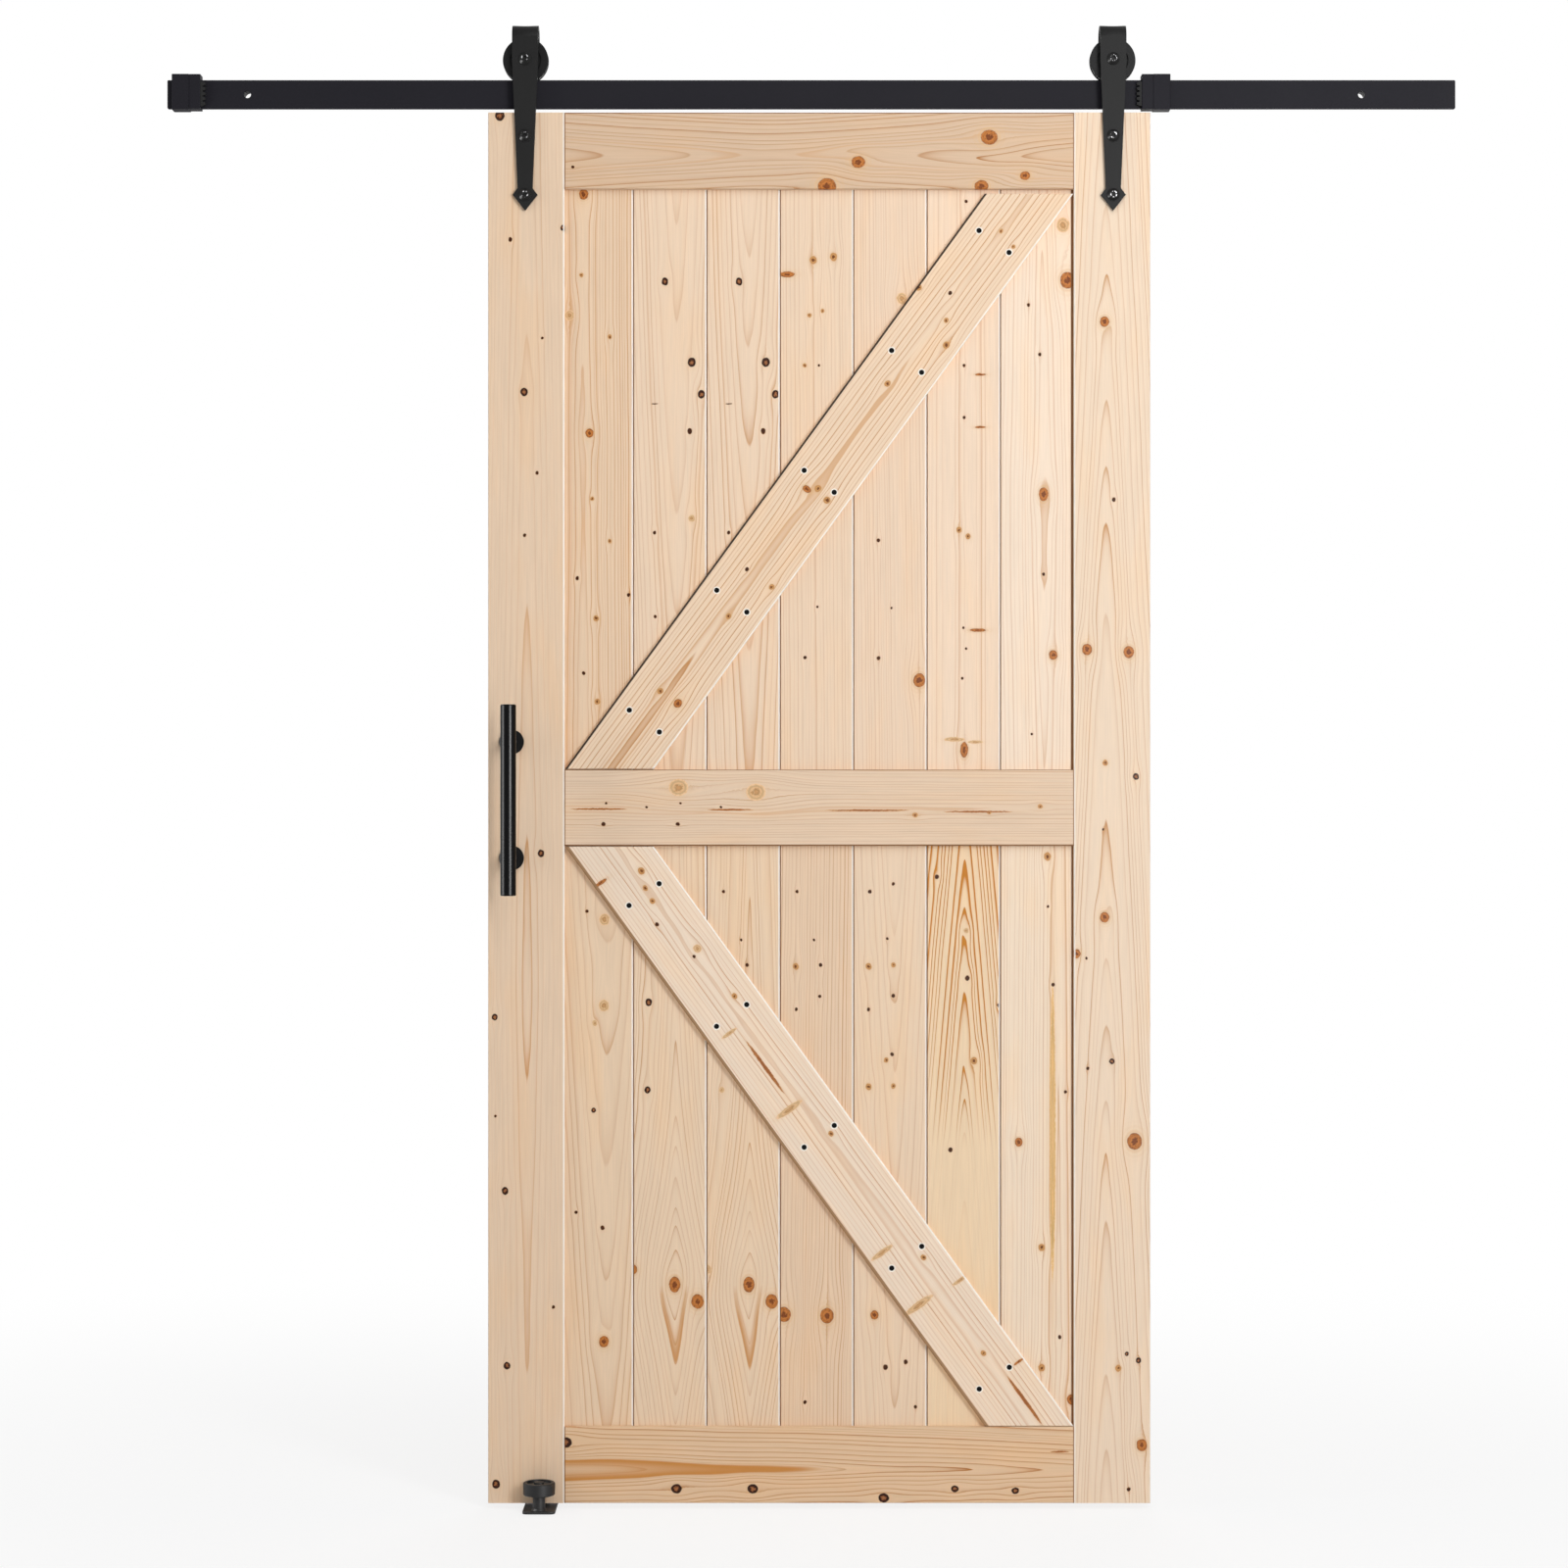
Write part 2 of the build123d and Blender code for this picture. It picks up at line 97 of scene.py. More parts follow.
class Value:
    """What a shader node puts out, with the sums that its graph can make of it."""

    def __init__(self, graph: "Graph", socket: bpy.types.NodeSocket) -> None:
        """Keep the output and the graph that it belongs to."""
        self.graph = graph
        self.socket = socket

    def __add__(self, other: "Feed") -> "Value":
        """This value and another."""
        return self.graph.math("ADD", self, other)

    def __sub__(self, other: "Feed") -> "Value":
        """This value less another."""
        return self.graph.math("SUBTRACT", self, other)

    def __rsub__(self, other: float) -> "Value":
        """A plain number less this value."""
        return self.graph.math("SUBTRACT", other, self)

    def __mul__(self, other: "Feed") -> "Value":
        """This value times another."""
        return self.graph.math("MULTIPLY", self, other)

    def __truediv__(self, other: "Feed") -> "Value":
        """This value divided by another."""
        return self.graph.math("DIVIDE", self, other)

    def __pow__(self, power: float) -> "Value":
        """This value raised to a power."""
        return self.graph.math("POWER", self, power)

    def __neg__(self) -> "Value":
        """This value with its sign turned round."""
        return self * -1.0

    def __abs__(self) -> "Value":
        """This value without its sign."""
        return self.graph.math("ABSOLUTE", self)

    def swing(self, reach: float) -> "Value":
        """Turn a noise from 0 to 1 into one from minus reach to reach."""
        return (self - 0.5) * (2 * reach)

    def ease(self, low: "Feed", high: "Feed", start: float = 0.0, end: float = 1.0) -> "Value":
        """Ease this value from one range into another, held at both ends.

        Args:
            low: Where the result is start.
            high: Where the result is end.
            start: The result at low.
            end: The result at high.

        Returns:
            The eased value.
        """
        feeds = (self, low, high, start, end)
        return self.graph.call("ShaderNodeMapRange", feeds, interpolation_type="SMOOTHSTEP")

    def fade(self, low: "Feed", high: "Feed") -> "Value":
        """Ease from 1 at low down to 0 at high."""
        return self.ease(low, high, 1.0, 0.0)

    def split(self) -> list["Value"]:
        """Take this vector apart.

        Returns:
            Its three parts.
        """
        made = self.graph.node("ShaderNodeSeparateXYZ")
        self.graph.feed(made.inputs[0], self)
        return [Value(self.graph, socket) for socket in made.outputs]


Feed = Value | float | tuple[float, ...]
Values = dict[str, Value]


class Graph:
    """A short way of writing the nodes of one shader tree.

    A Mix node has its sockets for colours behind those for numbers and vectors.
    """

    mix_inputs = (0, 6, 7)
    mix_output = 2

    def __init__(self, tree: bpy.types.NodeTree) -> None:
        """Keep the tree that the nodes go into."""
        self.tree = tree

    def node(self, kind: str, **settings: object) -> bpy.types.Node:
        """Add a node.

        Args:
            kind: The node's type in Blender.
            settings: The node's own properties.

        Returns:
            The new node.
        """
        made = self.tree.nodes.new(kind)
        for key, value in settings.items():
            setattr(made, key, value)
        return made

    def feed(self, socket: bpy.types.NodeSocket, value: Feed) -> None:
        """Link an input to a value of this graph, or set it to a plain one.

        Args:
            socket: The input to feed.
            value: What goes into it.
        """
        if isinstance(value, Value):
            self.tree.links.new(value.socket, socket)
        else:
            socket.default_value = value

    def call(self, kind: str, feeds: Sequence[Feed], out: int | str = 0, **settings: object) -> Value:
        """Add a node, feed its first inputs in order and take one of its outputs.

        Args:
            kind: The node's type in Blender.
            feeds: What goes into its inputs.
            out: The number or name of the output.
            settings: The node's own properties.

        Returns:
            The chosen output.
        """
        made = self.node(kind, **settings)
        for socket, value in zip(made.inputs, feeds):
            self.feed(socket, value)
        return Value(self, made.outputs[out])

    def math(self, operation: str, *values: Feed, clamp: bool = False) -> Value:
        """Work on plain numbers, with the result kept between 0 and 1 if clamp is set."""
        return self.call("ShaderNodeMath", values, operation=operation, use_clamp=clamp)

    def vector(self, operation: str, *values: Feed, out: str = "Vector") -> Value:
        """Work on vectors, and take the Vector or the Value that comes out."""
        return self.call("ShaderNodeVectorMath", values, out, operation=operation)

    def combine(self, *values: Feed) -> Value:
        """Join three values into a vector."""
        return self.call("ShaderNodeCombineXYZ", values)

    def span(self, x: Feed, y: Feed) -> Value:
        """The distance of a point from the middle."""
        return self.vector("LENGTH", self.combine(x, y, 0.0), out="Value")

    def fold(self, value: Value, pitch: Value) -> Value:
        """Fold a row of like places, one pitch apart, on to the place at 0."""
        half = pitch * 0.5
        return self.math("WRAP", value, half, -half)

    def scale(self, vector: Feed, share: Feed) -> Value:
        """Scale a vector or colour as a whole.

        Args:
            vector: The vector or colour.
            share: What it is multiplied by.

        Returns:
            The scaled vector or colour.
        """
        made = self.node("ShaderNodeVectorMath", operation="SCALE")
        self.feed(made.inputs[0], vector)
        self.feed(made.inputs["Scale"], share)
        return Value(self, made.outputs[0])

    def place(self) -> Value:
        """Where a point lies in the frame of the part."""
        return Value(self, self.node("ShaderNodeTexCoord").outputs["Object"])

    def facing(self, kind: str = "Normal") -> list[Value]:
        """The three parts of the direction that the surface faces."""
        return Value(self, self.node("ShaderNodeNewGeometry").outputs[kind]).split()

    def mix(self, share: Feed, first: Feed, second: Feed, blend: str = "MIX") -> Value:
        """Mix two colours.

        Args:
            share: How much of the second colour shows.
            first: The colour at 0.
            second: The colour at 1.
            blend: The blend mode.

        Returns:
            The mixed colour.
        """
        made = self.node("ShaderNodeMix", data_type="RGBA", blend_type=blend)
        for number, value in zip(self.mix_inputs, (share, first, second)):
            self.feed(made.inputs[number], value)
        return Value(self, made.outputs[self.mix_output])

    def ramp(self, value: Feed, stops: Sequence[tuple[float, Colour]]) -> Value:
        """Look a colour up along a row of stops.

        Args:
            value: The place along the ramp, from 0 to 1.
            stops: Places and their colours, in order.

        Returns:
            The colour there.
        """
        made = self.node("ShaderNodeValToRGB")
        bar = made.color_ramp.elements
        while len(bar) < len(stops):
            bar.new(1.0)
        for stop, (place, colour) in zip(bar, stops):
            stop.position = place
            stop.color = colour
        self.feed(made.inputs[0], value)
        return Value(self, made.outputs[0])

    def noise(
        self, where: Feed, detail: float, rough: float = 0.5, scale: float = 1.0,
        out: str = "Fac", size: str = "3D"
    ) -> Value:
        """Add a noise.

        Args:
            where: The place, or a plain number for a noise of size 1D.
            detail: The number of octaves.
            rough: How strong the finer octaves are.
            scale: How many features lie in one unit.
            out: The output to return, Fac or Color.
            size: How many directions the noise has, 1D or 3D.

        Returns:
            The chosen output.
        """
        made = self.node("ShaderNodeTexNoise", noise_dimensions=size)
        self.feed(made.inputs["W" if size == "1D" else "Vector"], where)
        for name, value in (("Scale", scale), ("Detail", detail), ("Roughness", rough)):
            made.inputs[name].default_value = value
        return Value(self, made.outputs[out])


class SharedGroup:
    """A node group that is built once and placed in each material with its own values."""

    title = "group"
    takes: Sockets = ()
    gives: Sockets = ()

    def __init__(self) -> None:
        """Make the group's sockets and nodes."""
        self.tree = bpy.data.node_groups.new(self.title, "ShaderNodeTree")
        for way, sockets in (("INPUT", self.takes), ("OUTPUT", self.gives)):
            for name, kind in sockets:
                self.tree.interface.new_socket(name, in_out=way, socket_type="NodeSocket" + kind)
        graph = Graph(self.tree)
        given = graph.node("NodeGroupInput").outputs
        results = graph.node("NodeGroupOutput").inputs
        built = self.build(graph, {name: Value(graph, given[name]) for name, _ in self.takes})
        for name, value in built.items():
            graph.feed(results[name], value)

    def build(self, graph: Graph, given: Values) -> Values:
        """Write the group's nodes; each group has its own.

        Args:
            graph: The group's tree.
            given: Its inputs by name.

        Returns:
            Its outputs by name.
        """
        raise NotImplementedError

    def put(self, graph: Graph, feeds: dict[str, Feed]) -> Values:
        """Put the group into a material.

        Args:
            graph: The material's tree.
            feeds: What goes into each of its inputs, by name.

        Returns:
            The group's outputs by name.
        """
        made = graph.node("ShaderNodeGroup", node_tree=self.tree)
        for name, value in feeds.items():
            graph.feed(made.inputs[name], value)
        return {name: Value(graph, made.outputs[name]) for name, _ in self.gives}


class GrainFrame(SharedGroup):
    """Where a point lies on its board: millimetres across the grain, along it and below the face."""

    title = "grain frame"
    takes = (("Corner", "Vector"), ("Turn", "Float"))
    gives = floats("Across", "Along", "Depth", "Ragged Across", "Ragged Along")
    shake_scale = 0.16
    shake = 1.2

    def build(self, graph: Graph, given: Values) -> Values:
        """Turn object coordinates to the grain, with a ragged copy for the outlines of knots.

        Args:
            graph: The group's tree.
            given: Its inputs by name.

        Returns:
            Its outputs by name.
        """
        turned = graph.node("ShaderNodeVectorRotate", rotation_type="Y_AXIS")
        graph.feed(turned.inputs["Vector"], graph.vector("SUBTRACT", graph.place(), given["Corner"]))
        graph.feed(turned.inputs["Angle"], given["Turn"])
        board = graph.scale(Value(graph, turned.outputs[0]), 1 / MM)
        noise = graph.noise(board, 2.0, scale=self.shake_scale, out="Color")
        moved = graph.vector("MULTIPLY_ADD", noise, (2 * self.shake,) * 3, board)
        ragged = graph.vector("SUBTRACT", moved, (self.shake,) * 3).split()
        across, depth, along = board.split()
        return {
            "Across": across, "Along": along, "Depth": depth,
            "Ragged Across": ragged[0], "Ragged Along": ragged[2],
        }


class KnotLink(SharedGroup):
    """One knot of a chain: it bends the grain and may become the nearest knot of a point."""

    title = "knot"
    takes = floats("Across", "Along", "Bend", "Nearest", "Kind", "At Across", "At Along", "Radius",
                   "Stretch", "Own Kind", "Push")
    gives = floats("Bend", "Nearest", "Kind")
    bend_width = 2.2
    bend_length = 5.0

    def build(self, graph: Graph, given: Values) -> Values:
        """Measure the point in knot radii and pass the chain on.

        Args:
            graph: The group's tree.
            given: Its inputs by name.

        Returns:
            Its outputs by name.
        """
        away = given["Across"] - given["At Across"]
        wide = away / given["Radius"]
        tall = (given["Along"] - given["At Along"]) / given["Radius"]
        radii = graph.span(wide, tall / given["Stretch"])
        reach = graph.combine(wide * (1 / self.bend_width), tall * (1 / self.bend_length), 0.0)
        fade = graph.math("EXPONENT", -graph.vector("DOT_PRODUCT", reach, reach, out="Value"))
        closer = graph.math("LESS_THAN", radii, given["Nearest"])
        change = given["Own Kind"] - given["Kind"]
        return {
            "Bend": given["Bend"] + away * given["Push"] * fade,
            "Nearest": graph.math("MINIMUM", radii, given["Nearest"]),
            "Kind": graph.math("MULTIPLY_ADD", closer, change, given["Kind"]),
        }


class GrowthRings(SharedGroup):
    """The rings of the tree as the saw met them, with the fibre and slow changes of tone."""

    title = "growth rings"
    takes = floats("Across", "Along", "Depth", "Pith Across", "Pith Depth", "Taper", "Turn At", "Swell",
                   "Spacing", "Wander", "Heart At", "Heart Width", "Heart Side", "Heart Half", "Seed")
    gives = floats("Line", "Heart", "Fibre", "Mottle")
    round_over = 60.0
    swell_length = 170.0
    side_fade = 15.0
    slow_scale = (0.011, 0.0032, 0.011)
    slow_wander = 2.6
    quick_scale = (0.06, 0.011, 0.06)
    quick_wander = 0.7
    drift_scale = 0.04
    ring_drift = 1.1
    faintest_ring = 0.3
    late_power = 7.0
    late_edge = (0.95, 1.0)
    tip_start = (-0.04, 0.14)
    tip_end = (0.12, 1.2)
    heart_side = (0.55, 1.0)
    fibre_scale = (0.5, 0.012, 0.5)
    mottle_scale = (0.024, 0.0045, 0.024)

    def build(self, graph: Graph, given: Values) -> Values:
        """Measure the distance from the pith and draw a saw-tooth of late wood in each ring.

        Args:
            graph: The group's tree.
            given: Its inputs by name.

        Returns:
            Its outputs by name.
        """
        where = graph.combine(given["Across"], given["Along"], given["Depth"])
        shift = graph.combine(given["Seed"], given["Seed"], given["Seed"])

        def streaks(scale: Place, detail: float, rough: float = 0.5) -> Value:
            """Noise drawn out along the grain."""
            return graph.noise(graph.vector("MULTIPLY_ADD", where, scale, shift), detail, rough)

        side = given["Across"] - given["Pith Across"]
        radius = graph.span(side, given["Depth"] - given["Pith Depth"])
        far = given["Along"] - given["Turn At"]
        eased = graph.span(far, self.round_over)
        hump = graph.math("EXPONENT", eased * (-1 / self.swell_length))
        slow = streaks(self.slow_scale, 1.0).swing(self.slow_wander) * given["Wander"]
        quick = streaks(self.quick_scale, 2.0).swing(self.quick_wander)
        total = eased * given["Taper"] + radius - hump * given["Swell"] + (slow + quick)
        drift = graph.noise(total * self.drift_scale + given["Seed"], 1.0, size="1D")
        count = total / given["Spacing"] + drift.swing(self.ring_drift)
        number = graph.math("FLOOR", count)
        part = count - number
        own = graph.node("ShaderNodeTexWhiteNoise", noise_dimensions="1D")
        graph.feed(own.inputs["W"], number + given["Seed"])
        chance = Value(graph, own.outputs["Value"]) ** 2.0
        strength = chance * (1 - self.faintest_ring) + self.faintest_ring
        inward = (given["Heart At"] - total) / given["Heart Width"]
        tip = inward.ease(*self.tip_start) * inward.fade(*self.tip_end)
        both = 1.0 - abs(given["Heart Side"])
        ahead = far * given["Heart Side"] * (1 / self.side_fade)
        kept = graph.math("ADD", ahead, both, clamp=True)
        beside = abs(side) / given["Heart Half"]
        return {
            "Line": part ** self.late_power * part.fade(*self.late_edge) * strength,
            "Heart": tip * kept * beside.fade(*self.heart_side),
            "Fibre": streaks(self.fibre_scale, 3.0, 0.65),
            "Mottle": streaks(self.mottle_scale, 2.0),
        }


class KnotKind(Enum):
    """What a knot looks like, as its place along the colour ramps."""

    PIN = 0.0
    RESIN = 0.17
    RING = 0.34
    SMALL = 0.5
    SOUND = 0.67
    STREAK = 0.84
    PALE = 1.0


class SpruceColour(SharedGroup):
    """Colour, roughness and relief of planed spruce with its knots."""

    title = "spruce colour"
    takes = (("Pale", "Color"), ("Late", "Color"),
             *floats("Line", "Line Amount", "Heart", "Heart Amount", "Fibre", "Mottle", "Nearest", "Kind"))
    gives = (("Color", "Color"), *floats("Roughness", "Height"))
    heart_wood = srgb(202, 138, 70)
    warm = srgb(255, 250, 243)
    warm_from = (0.45, 0.75)
    fibre_tone = 0.11
    mottle_tone = 0.05
    halo = srgb(224, 182, 130)
    halo_fade = 1.7
    halo_rings = 11.0
    halo_wave = 0.34
    edge = (0.95, 1.1)
    blotch_scale = 330.0
    blotch = 0.6
    body_from = (0.28, 0.55)
    rim_from = (0.78, 1.0)
    knot_rings = 15.0
    knot_wave = 0.12
    dry = 0.54
    fibre_dry = 0.14
    knot_polish = 0.14
    raised = 0.5
    cores = {
        KnotKind.PIN: srgb(58, 24, 0), KnotKind.RESIN: srgb(150, 84, 38), KnotKind.RING: srgb(158, 98, 56),
        KnotKind.SMALL: srgb(112, 60, 24), KnotKind.SOUND: srgb(122, 62, 22),
        KnotKind.STREAK: srgb(226, 184, 126), KnotKind.PALE: srgb(196, 148, 98),
    }
    bodies = {
        KnotKind.PIN: srgb(64, 28, 0), KnotKind.RESIN: srgb(172, 104, 50), KnotKind.RING: srgb(52, 20, 2),
        KnotKind.SMALL: srgb(204, 148, 88), KnotKind.SOUND: srgb(190, 116, 52),
        KnotKind.STREAK: srgb(222, 178, 116), KnotKind.PALE: srgb(218, 178, 132),
    }
    rims = {
        KnotKind.PIN: srgb(138, 82, 30), KnotKind.RESIN: srgb(198, 142, 88), KnotKind.RING: srgb(40, 14, 0),
        KnotKind.SMALL: srgb(198, 146, 92), KnotKind.SOUND: srgb(146, 84, 36),
        KnotKind.STREAK: srgb(228, 190, 138), KnotKind.PALE: srgb(228, 192, 150),
    }
    halos = {
        KnotKind.PIN: grey(150), KnotKind.RING: grey(160), KnotKind.SOUND: grey(225),
        KnotKind.PALE: grey(130),
    }

    def build(self, graph: Graph, given: Values) -> Values:
        """Lay the ring lines, heart streak, halo, core and rim over the pale wood.

        Args:
            graph: The group's tree.
            given: Its inputs by name.

        Returns:
            Its outputs by name.
        """
        fibre, mottle, nearest = given["Fibre"], given["Mottle"], given["Nearest"]

        def by_kind(colours: dict[KnotKind, Colour]) -> Value:
            """The colour of the nearest knot's kind."""
            return graph.ramp(given["Kind"], [(kind.value, colour) for kind, colour in colours.items()])

        level = fibre.swing(self.fibre_tone) + mottle.swing(self.mottle_tone) + 1.0
        ground = graph.scale(given["Pale"], level)
        ground = graph.mix(mottle.ease(*self.warm_from), ground, self.warm, "MULTIPLY")
        late = graph.mix(1.0, ground, given["Late"], "MULTIPLY")
        line = graph.math("MULTIPLY", given["Line"], given["Line Amount"], clamp=True)
        heart = graph.math("MULTIPLY", given["Heart"], given["Heart Amount"], clamp=True)
        wood = graph.mix(heart, graph.mix(line, ground, late), self.heart_wood)
        out = graph.math("MAXIMUM", nearest - 1.0, 0.0)
        ripple = graph.math("SINE", nearest * self.halo_rings) * self.halo_wave + (1 - self.halo_wave)
        glow = graph.math("EXPONENT", out * -self.halo_fade) * ripple * by_kind(self.halos)
        core = nearest.fade(*self.edge)
        ragged = nearest + graph.noise(graph.place(), 2.0, 0.6, self.blotch_scale).swing(self.blotch)
        middle = graph.mix(ragged.ease(*self.body_from), by_kind(self.cores), by_kind(self.bodies))
        knot = graph.mix(ragged.ease(*self.rim_from), middle, by_kind(self.rims))
        wave = graph.math("SINE", nearest * self.knot_rings) * self.knot_wave + 1.0
        return {
            "Color": graph.mix(core, graph.mix(glow, wood, self.halo), graph.scale(knot, wave)),
            "Roughness": core * -self.knot_polish + (fibre * self.fibre_dry + self.dry),
            "Height": core * self.raised + (line * self.raised + fibre),
        }


class FreshRing(SharedGroup):
    """The ring of freshly cut wood round each countersunk screw of a brace."""

    title = "fresh wood round screws"
    takes = floats("Across", "Along", "Pitch", "Pair", "Radius")
    gives = floats("Ring")
    edge = (0.85, 1.1)

    def build(self, graph: Graph, given: Values) -> Values:
        """Fold the rows of screws on to one screw and measure the distance from it.

        Args:
            graph: The group's tree.
            given: Its inputs by name.

        Returns:
            Its outputs by name.
        """
        row = graph.fold(given["Along"], given["Pitch"])
        away = abs(given["Across"]) - given["Pair"] * 0.5
        return {"Ring": (graph.span(row, away) / given["Radius"]).fade(*self.edge)}


class EdgeBands(SharedGroup):
    """A narrow band along each long edge of a face, for painted highlight and painted shade."""

    title = "edge bands"
    takes = floats("Across", "Low", "High", "Low Width", "High Width")
    gives = floats("Band")
    soft = 0.5
    front = (-0.35, -0.5)

    def build(self, graph: Graph, given: Values) -> Values:
        """Measure from both edges, on the front of the piece only.

        Args:
            graph: The group's tree.
            given: Its inputs by name.

        Returns:
            Its outputs by name.
        """
        bands = []
        for first, second, width in (("Across", "Low", "Low Width"), ("High", "Across", "High Width")):
            inward = given[first] - given[second]
            bands.append(inward.fade(given[width] - self.soft, given[width]))
        front = graph.facing("True Normal")[1].ease(*self.front)
        return {"Band": graph.math("MAXIMUM", *bands) * front}


class CoatedSteel(SharedGroup):
    """Colour, roughness and fine orange peel of a baked black coat."""

    title = "coated steel"
    takes = (("Coat", "Color"), *floats("Sheen", "Peel"))
    gives = (("Color", "Color"), *floats("Roughness", "Height"))
    cloud_scale = 9.0
    cloud_tone = 0.14
    cloud_dull = 0.07
    peel_scale = 1400.0
    peel_tone = 0.16
    fleck_scale = 520.0
    fleck_dull = 0.05
    dust = srgb(92, 90, 88)
    dust_share = 0.22
    lying = (0.6, 1.0)
    flecked = (0.45, 0.75)

    def build(self, graph: Graph, given: Values) -> Values:
        """Vary the coat slowly in tone, finely in relief, and let a little dust lie on top.

        Args:
            graph: The group's tree.
            given: Its inputs by name.

        Returns:
            Its outputs by name.
        """
        place = graph.place()
        cloud = graph.noise(place, 3.0, scale=self.cloud_scale)
        peel = graph.noise(place, 2.0, 0.6, self.peel_scale)
        fleck = graph.noise(place, 2.0, scale=self.fleck_scale)
        level = cloud.swing(self.cloud_tone) + (peel.swing(self.peel_tone) + 1.0)
        dusty = graph.facing()[2].ease(*self.lying) * fleck.ease(*self.flecked)
        return {
            "Color": graph.mix(dusty * self.dust_share, graph.scale(given["Coat"], level), self.dust),
            "Roughness": given["Sheen"] + cloud.swing(self.cloud_dull) + fleck.swing(self.fleck_dull),
            "Height": peel * given["Peel"],
        }


class SocketWearGlints(SharedGroup):
    """Painted glints: spots of uncoated bright steel, as if rubbed, on the rim of each bolt's socket."""

    title = "socket wear and glints"
    takes = (("Axis", "Vector"), ("Pitch", "Float"))
    gives = floats("Bare")
    rim = 4.4 * MM
    half = 1.0 * MM
    crisp = 0.3
    front = (0.0, -0.3)
    spot_scale = 420.0
    spotted = (0.52, 0.62)

    def build(self, graph: Graph, given: Values) -> Values:
        """Fold the bolts of a row on to one and break the rim of its socket into spots.

        Args:
            graph: The group's tree.
            given: Its inputs by name.

        Returns:
            Its outputs by name.
        """
        place = graph.place()
        x, _, z = graph.vector("SUBTRACT", place, given["Axis"]).split()
        off = abs(graph.span(x, graph.fold(z, given["Pitch"])) - self.rim)
        band = off.fade(self.crisp * self.half, self.half)
        seen = graph.facing()[1].ease(*self.front)
        spots = graph.noise(place, 1.0, scale=self.spot_scale)
        # painted glints: metallic uncoated steel spots on the front of each socket rim
        return {"Bare": band * seen * spots.ease(*self.spotted)}


GRAIN_FRAME = GrainFrame()
KNOT_LINK = KnotLink()
GROWTH_RINGS = GrowthRings()
SPRUCE_COLOUR = SpruceColour()
FRESH_RING = FreshRing()
EDGE_BANDS = EdgeBands()
COATED_STEEL = CoatedSteel()
SOCKET_WEAR_GLINTS = SocketWearGlints()


def new_material(name: str) -> tuple[bpy.types.Material, Graph, bpy.types.Node]:
    """Start a material with one Principled shader.

    Args:
        name: The material's name.

    Returns:
        The material, the graph of its tree and its shader.
    """
    material = bpy.data.materials.new(name)
    material.use_nodes = True
    return material, Graph(material.node_tree), material.node_tree.nodes["Principled BSDF"]


def surface(
    graph: Graph, shader: bpy.types.Node, colour: Value, looks: Values, specular: float, relief: Point
) -> None:
    """Give a shader its colour, roughness, gloss and bump.

    Args:
        graph: The material's graph.
        shader: The Principled shader.
        colour: The base colour.
        looks: The outputs of a group, with a Roughness and a Height from 0 to 1.
        specular: How strongly the surface mirrors.
        relief: How deep the relief is, in metres, and how much of it shows.
    """
    bump = graph.node("ShaderNodeBump")
    graph.feed(bump.inputs["Height"], looks["Height"])
    graph.feed(bump.inputs["Distance"], relief[0])
    graph.feed(bump.inputs["Strength"], relief[1])
    graph.feed(shader.inputs["Normal"], Value(graph, bump.outputs[0]))
    graph.feed(shader.inputs["Base Color"], colour)
    graph.feed(shader.inputs["Roughness"], looks["Roughness"])
    graph.feed(shader.inputs["Specular IOR Level"], specular)


def new_object(name: str, data: bpy.types.ID) -> bpy.types.Object:
    """Make an object and put it in the scene.

    Args:
        name: The object's name.
        data: Its mesh, lamp or camera.

    Returns:
        The object.
    """
    made = bpy.data.objects.new(name, data)
    bpy.context.scene.collection.objects.link(made)
    return made


def dress(node: str, material: bpy.types.Material) -> None:
    """Give a node of the part its finish.

    Args:
        node: The node's name.
        material: The finish.
    """
    slots = NODES[node].data.materials
    slots.clear()
    slots.append(material)
    LOG.info("%s: %s", node, material.name)


@dataclass(frozen=True)
class Knot:
    """A mark in the wood, in millimetres from the top left corner of the door's face."""

    x: float
    drop: float
    radius: float
    kind: KnotKind
    stretch: float = 1.15
    push: float = 0.85


SMALLEST_SOUND = 6.0
PIN_SHARE = 0.92
SPIKE_STRETCH = 0.22


def pin(x: float, drop: float, radius: float = 2.6) -> Knot:
    """A small dark knot."""
    return Knot(x, drop, PIN_SHARE * radius, KnotKind.PIN)


def ring(x: float, drop: float, radius: float = 5.0) -> Knot:
    """A dead knot with a black rim."""
    return Knot(x, drop, radius, KnotKind.RING)


def sound(x: float, drop: float, radius: float = 5.0, stretch: float = 1.15) -> Knot:
    """A sound orange-brown knot; a smaller one is tan with a dark middle."""
    return Knot(x, drop, radius, KnotKind.SOUND if radius >= SMALLEST_SOUND else KnotKind.SMALL, stretch)


def pale(x: float, drop: float, radius: float = 6.0) -> Knot:
    """A faint tan knot just under the face."""
    return Knot(x, drop, radius, KnotKind.PALE)


def spike(x: float, drop: float, half: float, kind: KnotKind = KnotKind.PALE) -> Knot:
    """A branch cut lengthways, lying across the grain."""
    return Knot(x, drop, half, kind, SPIKE_STRETCH, 0.0)


def slit(x: float, drop: float, half: float, width: float = 1.4) -> Knot:
    """A resin pocket that lies along the grain."""
    return Knot(x, drop, width, KnotKind.RESIN, half / width, 0.0)


def streak(x: float, drop: float, half: float, width: float) -> Knot:
    """A golden streak along the grain."""
    return Knot(x, drop, width, KnotKind.STREAK, half / width, 0.0)


class Grain(Enum):
    """How the grain of a piece runs on the face of the door."""

    UPRIGHT = "upright"
    LEVEL = "level"
    RISING = "rising to the right"
    FALLING = "falling to the right"


